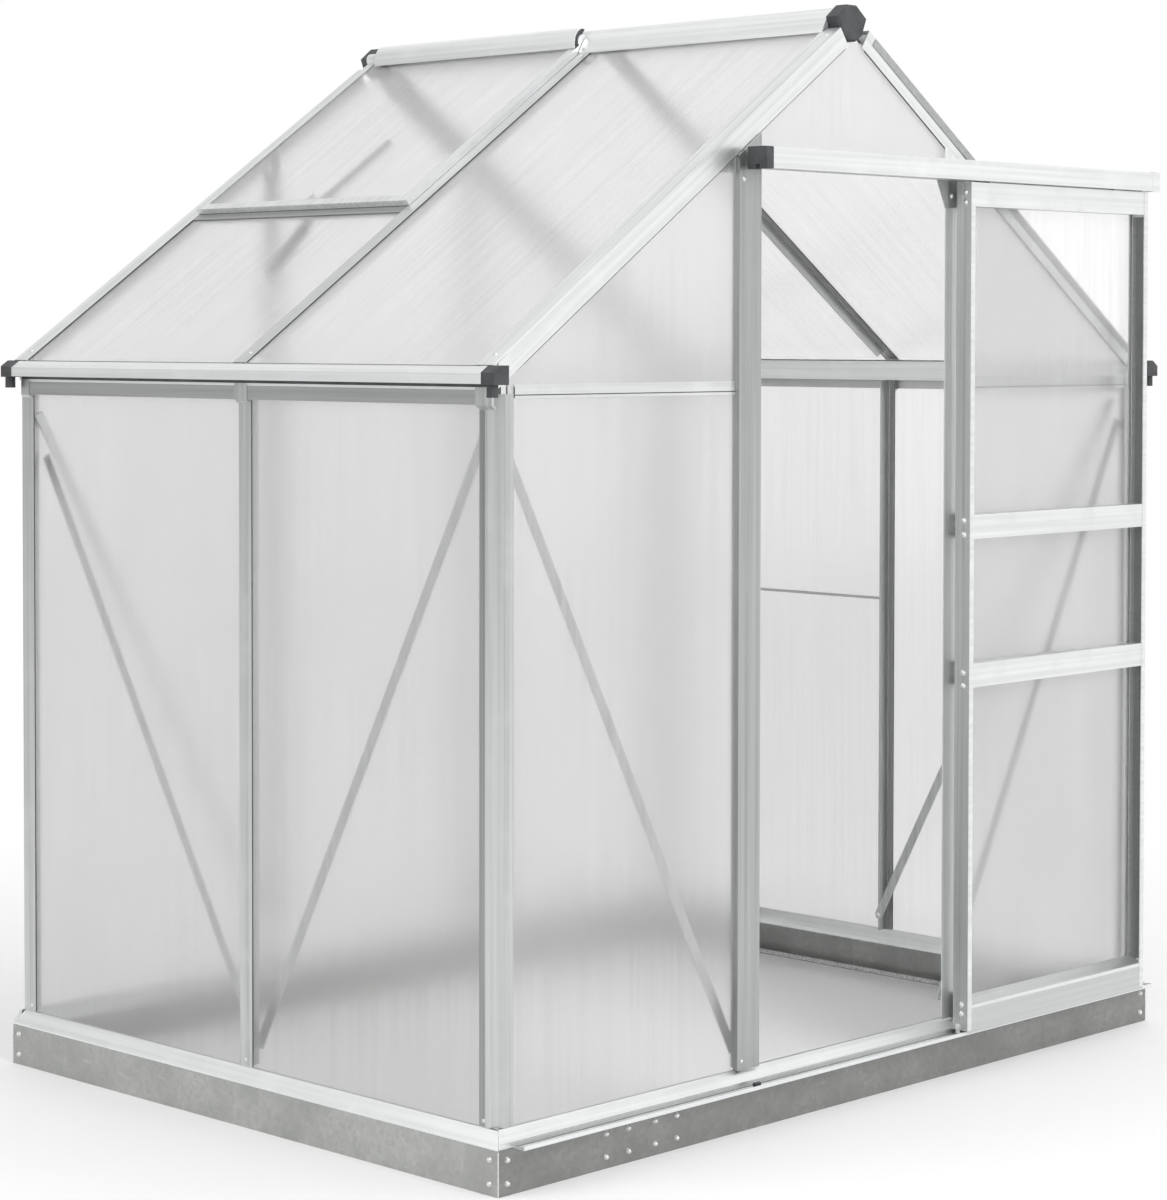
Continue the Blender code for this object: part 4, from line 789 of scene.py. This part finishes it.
GUSSET = ((0.2421, 1.7470), (0.2683, 1.6930), (0.3060, 1.6940), (0.3060, 1.7470))
gusset = bmesh.new()
skin(gusset, [[(x, y, z) for x, z in GUSSET] for y in (-0.6612, -0.6590)])
solid("head_gusset", gusset, ALU_Z)
TAB = ((-0.3950, 1.7380), (-0.3330, 1.7380), (-0.3330, 1.7760), (-0.3950, 1.7760))
tab = bmesh.new()
skin(tab, [[(x, y, z) for x, z in TAB] for y in (-0.6510, -0.6490)])
solid("head_tab", tab, ALU_Z)
HEAD_BOLTS = ((0.288, -0.6612, 1.716), (-0.372, -0.6510, 1.7560), (-0.318, -0.6586, 1.7280),
              (0.318, -0.6586, 1.7280))
bolts("head_bolts", [(place, (0, -1, 0)) for place in HEAD_BOLTS], radius=0.0036, height=0.0028,
      washer=0.0052)

STOP_Y = -0.6870
STOP_Z = 0.0840
stop = bmesh.new()
bar(stop, (-0.3170, STOP_Y, STOP_Z), (-0.3020, STOP_Y, STOP_Z), (0, 1, 0), 0.008, 0.007)
solid("door_stop", stop, DARK)


# Roof vent and its opener
# Top-hung frame of light aluminium bars round a short sheet, a folded hood over its hinge at the ridge.
# An opener with a dark wax cylinder and two arms pushes it up from a bracket on the sill bar.

dress(ALU_SLOPE, "vent_frame")
dress(SHADED_X, "opener_lower_arm", "opener_upper_arm")
dress(DARK_BAND, "vent_sill")
OPENER_Y = 0.3439
sleeve = (slope(-1, 0.6400, 0.0394, OPENER_Y), slope(-1, 0.7680, 0.0666, OPENER_Y))
beads("opener_cylinder_sleeve", [sleeve], 0.0122, DARK)

HINGE_X, _, HINGE_Z = slope(-1, 0.040, -0.0145, 0)
HOOD_FRONT = 0.0262
HOOD_REAR = 0.6300
HOOD_END_THICK = 0.0012
HOOD_OUTSIDE = [(-0.0215, -0.0155), (-0.0212, -0.0020), (-0.0180, 0.0110), (-0.0110, 0.0210),
                (-0.0010, 0.0266), (0.0065, 0.0266), (0.0098, 0.0250)]
HOOD_INSIDE = [(-0.0203, -0.0155), (-0.0200, -0.0022), (-0.0170, 0.0103), (-0.0103, 0.0200),
               (-0.0006, 0.0254), (0.0060, 0.0254), (0.0092, 0.0240)]


def hood_ring(points, y):
    """Points of the hood's section, round the hinge's line."""
    return [(HINGE_X + a, y, HINGE_Z + b) for a, b in points]


hood = bmesh.new()
skin(hood, [hood_ring(HOOD_OUTSIDE + HOOD_INSIDE[::-1], y) for y in (HOOD_FRONT, HOOD_REAR)])
solid("hinge_hood", hood, LIT_Y, "vent")
hood_ends = bmesh.new()
for y in (0.0266, 0.6280):
    skin(hood_ends, [hood_ring(HOOD_INSIDE, at) for at in (y, y + HOOD_END_THICK)])
solid("hinge_hood_ends", hood_ends, DARK, "vent")


# Studio
# Plain pale floor that fades into white surroundings, one soft key lamp in front and one weak fill.
# The surroundings are white to look at, and as light they are brighter in front and above.

FLOOR_RADIUS = 14.0
FADE_START = 1.3
FADE_END = 3.0
THROUGH_FLOOR = 0.90
LIGHT_SIDE = (0.50, -0.45, 0.74)
LIGHT_RANGE = (-1.0, 1.0, 0.34, 1.12)
THROUGH_RANGE = (-0.15, 0.02, 0.90, 1.09)


def floor():
    """Round pale floor: near the object it is lit, further out it fades to plain white."""
    bm = bmesh.new()
    bmesh.ops.create_circle(bm, cap_ends=True, radius=FLOOR_RADIUS, segments=64)
    mesh = bpy.data.meshes.new("floor")
    bm.to_mesh(mesh)
    bm.free()
    made = bpy.data.objects.new("floor", mesh)
    bpy.context.collection.objects.link(made)
    g = Graph("floor")
    g.shader.inputs["Base Color"].default_value = (0.93, 0.93, 0.93, 1)
    g.shader.inputs["Roughness"].default_value = 0.9
    reach = g.node("ShaderNodeVectorMath", operation="LENGTH")
    g.put(reach.inputs[0], g.place())
    far = g.remap(reach.outputs["Value"], FADE_START, FADE_END, 0.0, 1.0)
    rays = g.node("ShaderNodeLightPath")
    seen = g.math("MAXIMUM", rays.outputs["Is Camera Ray"], rays.outputs["Is Glossy Ray"])
    seen = g.math("MAXIMUM", seen, rays.outputs["Is Transmission Ray"])
    white = g.node("ShaderNodeEmission")
    g.put(white.inputs["Strength"], g.remap(rays.outputs["Is Transmission Ray"], 0, 1, 1.0, THROUGH_FLOOR))
    mix = g.node("ShaderNodeMixShader")
    g.put(mix.inputs[0], g.math("MULTIPLY", far, seen))
    g.put(mix.inputs[1], g.shader.outputs[0])
    g.put(mix.inputs[2], white.outputs[0])
    g.put(g.tree.nodes["Material Output"].inputs["Surface"], mix.outputs[0])
    mesh.materials.append(g.material)


def lamp(name, place, size, power):
    """Soft square lamp that points at the middle of the object."""
    data = bpy.data.lights.new(name, "AREA")
    data.shape = "SQUARE"
    data.size = size
    data.energy = power
    made = bpy.data.objects.new(name, data)
    made.location = place
    made.rotation_mode = "QUATERNION"
    made.rotation_quaternion = (Vector((0, 0, 1.0)) - Vector(place)).to_track_quat("-Z", "Y")
    bpy.context.collection.objects.link(made)


def ranged(tree, value, settings):
    """Map Range node in the surroundings."""
    made = tree.nodes.new("ShaderNodeMapRange")
    for label, number in zip(("From Min", "From Max", "To Min", "To Max"), settings):
        made.inputs[label].default_value = number
    tree.links.new(value, made.inputs["Value"])
    return made.outputs["Result"]


def surroundings():
    """White behind the object; as light it is brighter in front and above than on the left."""
    made = bpy.data.worlds.new("studio")
    made.use_nodes = True
    tree = made.node_tree
    back = tree.nodes["Background"]
    direction = tree.nodes.new("ShaderNodeTexCoord")
    front = tree.nodes.new("ShaderNodeVectorMath")
    front.operation = "DOT_PRODUCT"
    front.inputs[1].default_value = LIGHT_SIDE
    tree.links.new(direction.outputs["Generated"], front.inputs[0])
    level = ranged(tree, front.outputs["Value"], LIGHT_RANGE)
    height = tree.nodes.new("ShaderNodeSeparateXYZ")
    tree.links.new(direction.outputs["Generated"], height.inputs[0])
    through = ranged(tree, height.outputs["Z"], THROUGH_RANGE)
    rays = tree.nodes.new("ShaderNodeLightPath")
    behind = tree.nodes.new("ShaderNodeMix")
    tree.links.new(rays.outputs["Is Transmission Ray"], behind.inputs["Factor"])
    tree.links.new(level, behind.inputs["A"])
    tree.links.new(through, behind.inputs["B"])
    strength = tree.nodes.new("ShaderNodeMix")
    tree.links.new(rays.outputs["Is Camera Ray"], strength.inputs["Factor"])
    tree.links.new(behind.outputs["Result"], strength.inputs["A"])
    strength.inputs["B"].default_value = 1.0
    tree.links.new(strength.outputs["Result"], back.inputs["Strength"])
    back.inputs["Color"].default_value = (1, 1, 1, 1)
    bpy.context.scene.world = made


floor()
surroundings()
lamp("key", (-1.2, -6.0, 4.6), 3.0, 150)
lamp("fill", (-5.0, 1.5, 4.0), 3.0, 60)


# Camera
# The photograph's viewing angle, fitted to the edges of the real object: the distance and the focal
# length in pixels of its 1167 by 1200 frame, with the small shift of its centre.

FOCAL_PX = 3101.685
CENTRE_PX = (596.083, 430.236)
YAW = 0.79958
PITCH = -0.03001
ROLL = 0.00143
PLACE = (-4.53095, -4.38040, 1.44136)
FRAME_PX = (1167, 1200)
SENSOR = 36


def camera():
    """Camera that gives the photograph's frame."""
    data = bpy.data.cameras.new("view")
    made = bpy.data.objects.new("view", data)
    bpy.context.collection.objects.link(made)
    data.sensor_width = SENSOR
    data.sensor_fit = "AUTO"
    data.lens = FOCAL_PX / FRAME_PX[1] * SENSOR
    data.shift_x = (FRAME_PX[0] / 2 - CENTRE_PX[0]) / FRAME_PX[1]
    data.shift_y = (CENTRE_PX[1] - FRAME_PX[1] / 2) / FRAME_PX[1]
    data.clip_start = 0.1
    data.clip_end = 60
    forward = Vector((math.sin(YAW) * math.cos(PITCH), math.cos(YAW) * math.cos(PITCH), math.sin(PITCH)))
    made.rotation_mode = "QUATERNION"
    level = forward.to_track_quat("-Z", "Y")
    made.rotation_quaternion = level @ Matrix.Rotation(ROLL, 3, "Z").to_quaternion()
    made.location = PLACE
    bpy.context.scene.camera = made


camera()
bpy.context.scene.view_settings.view_transform = "Standard"
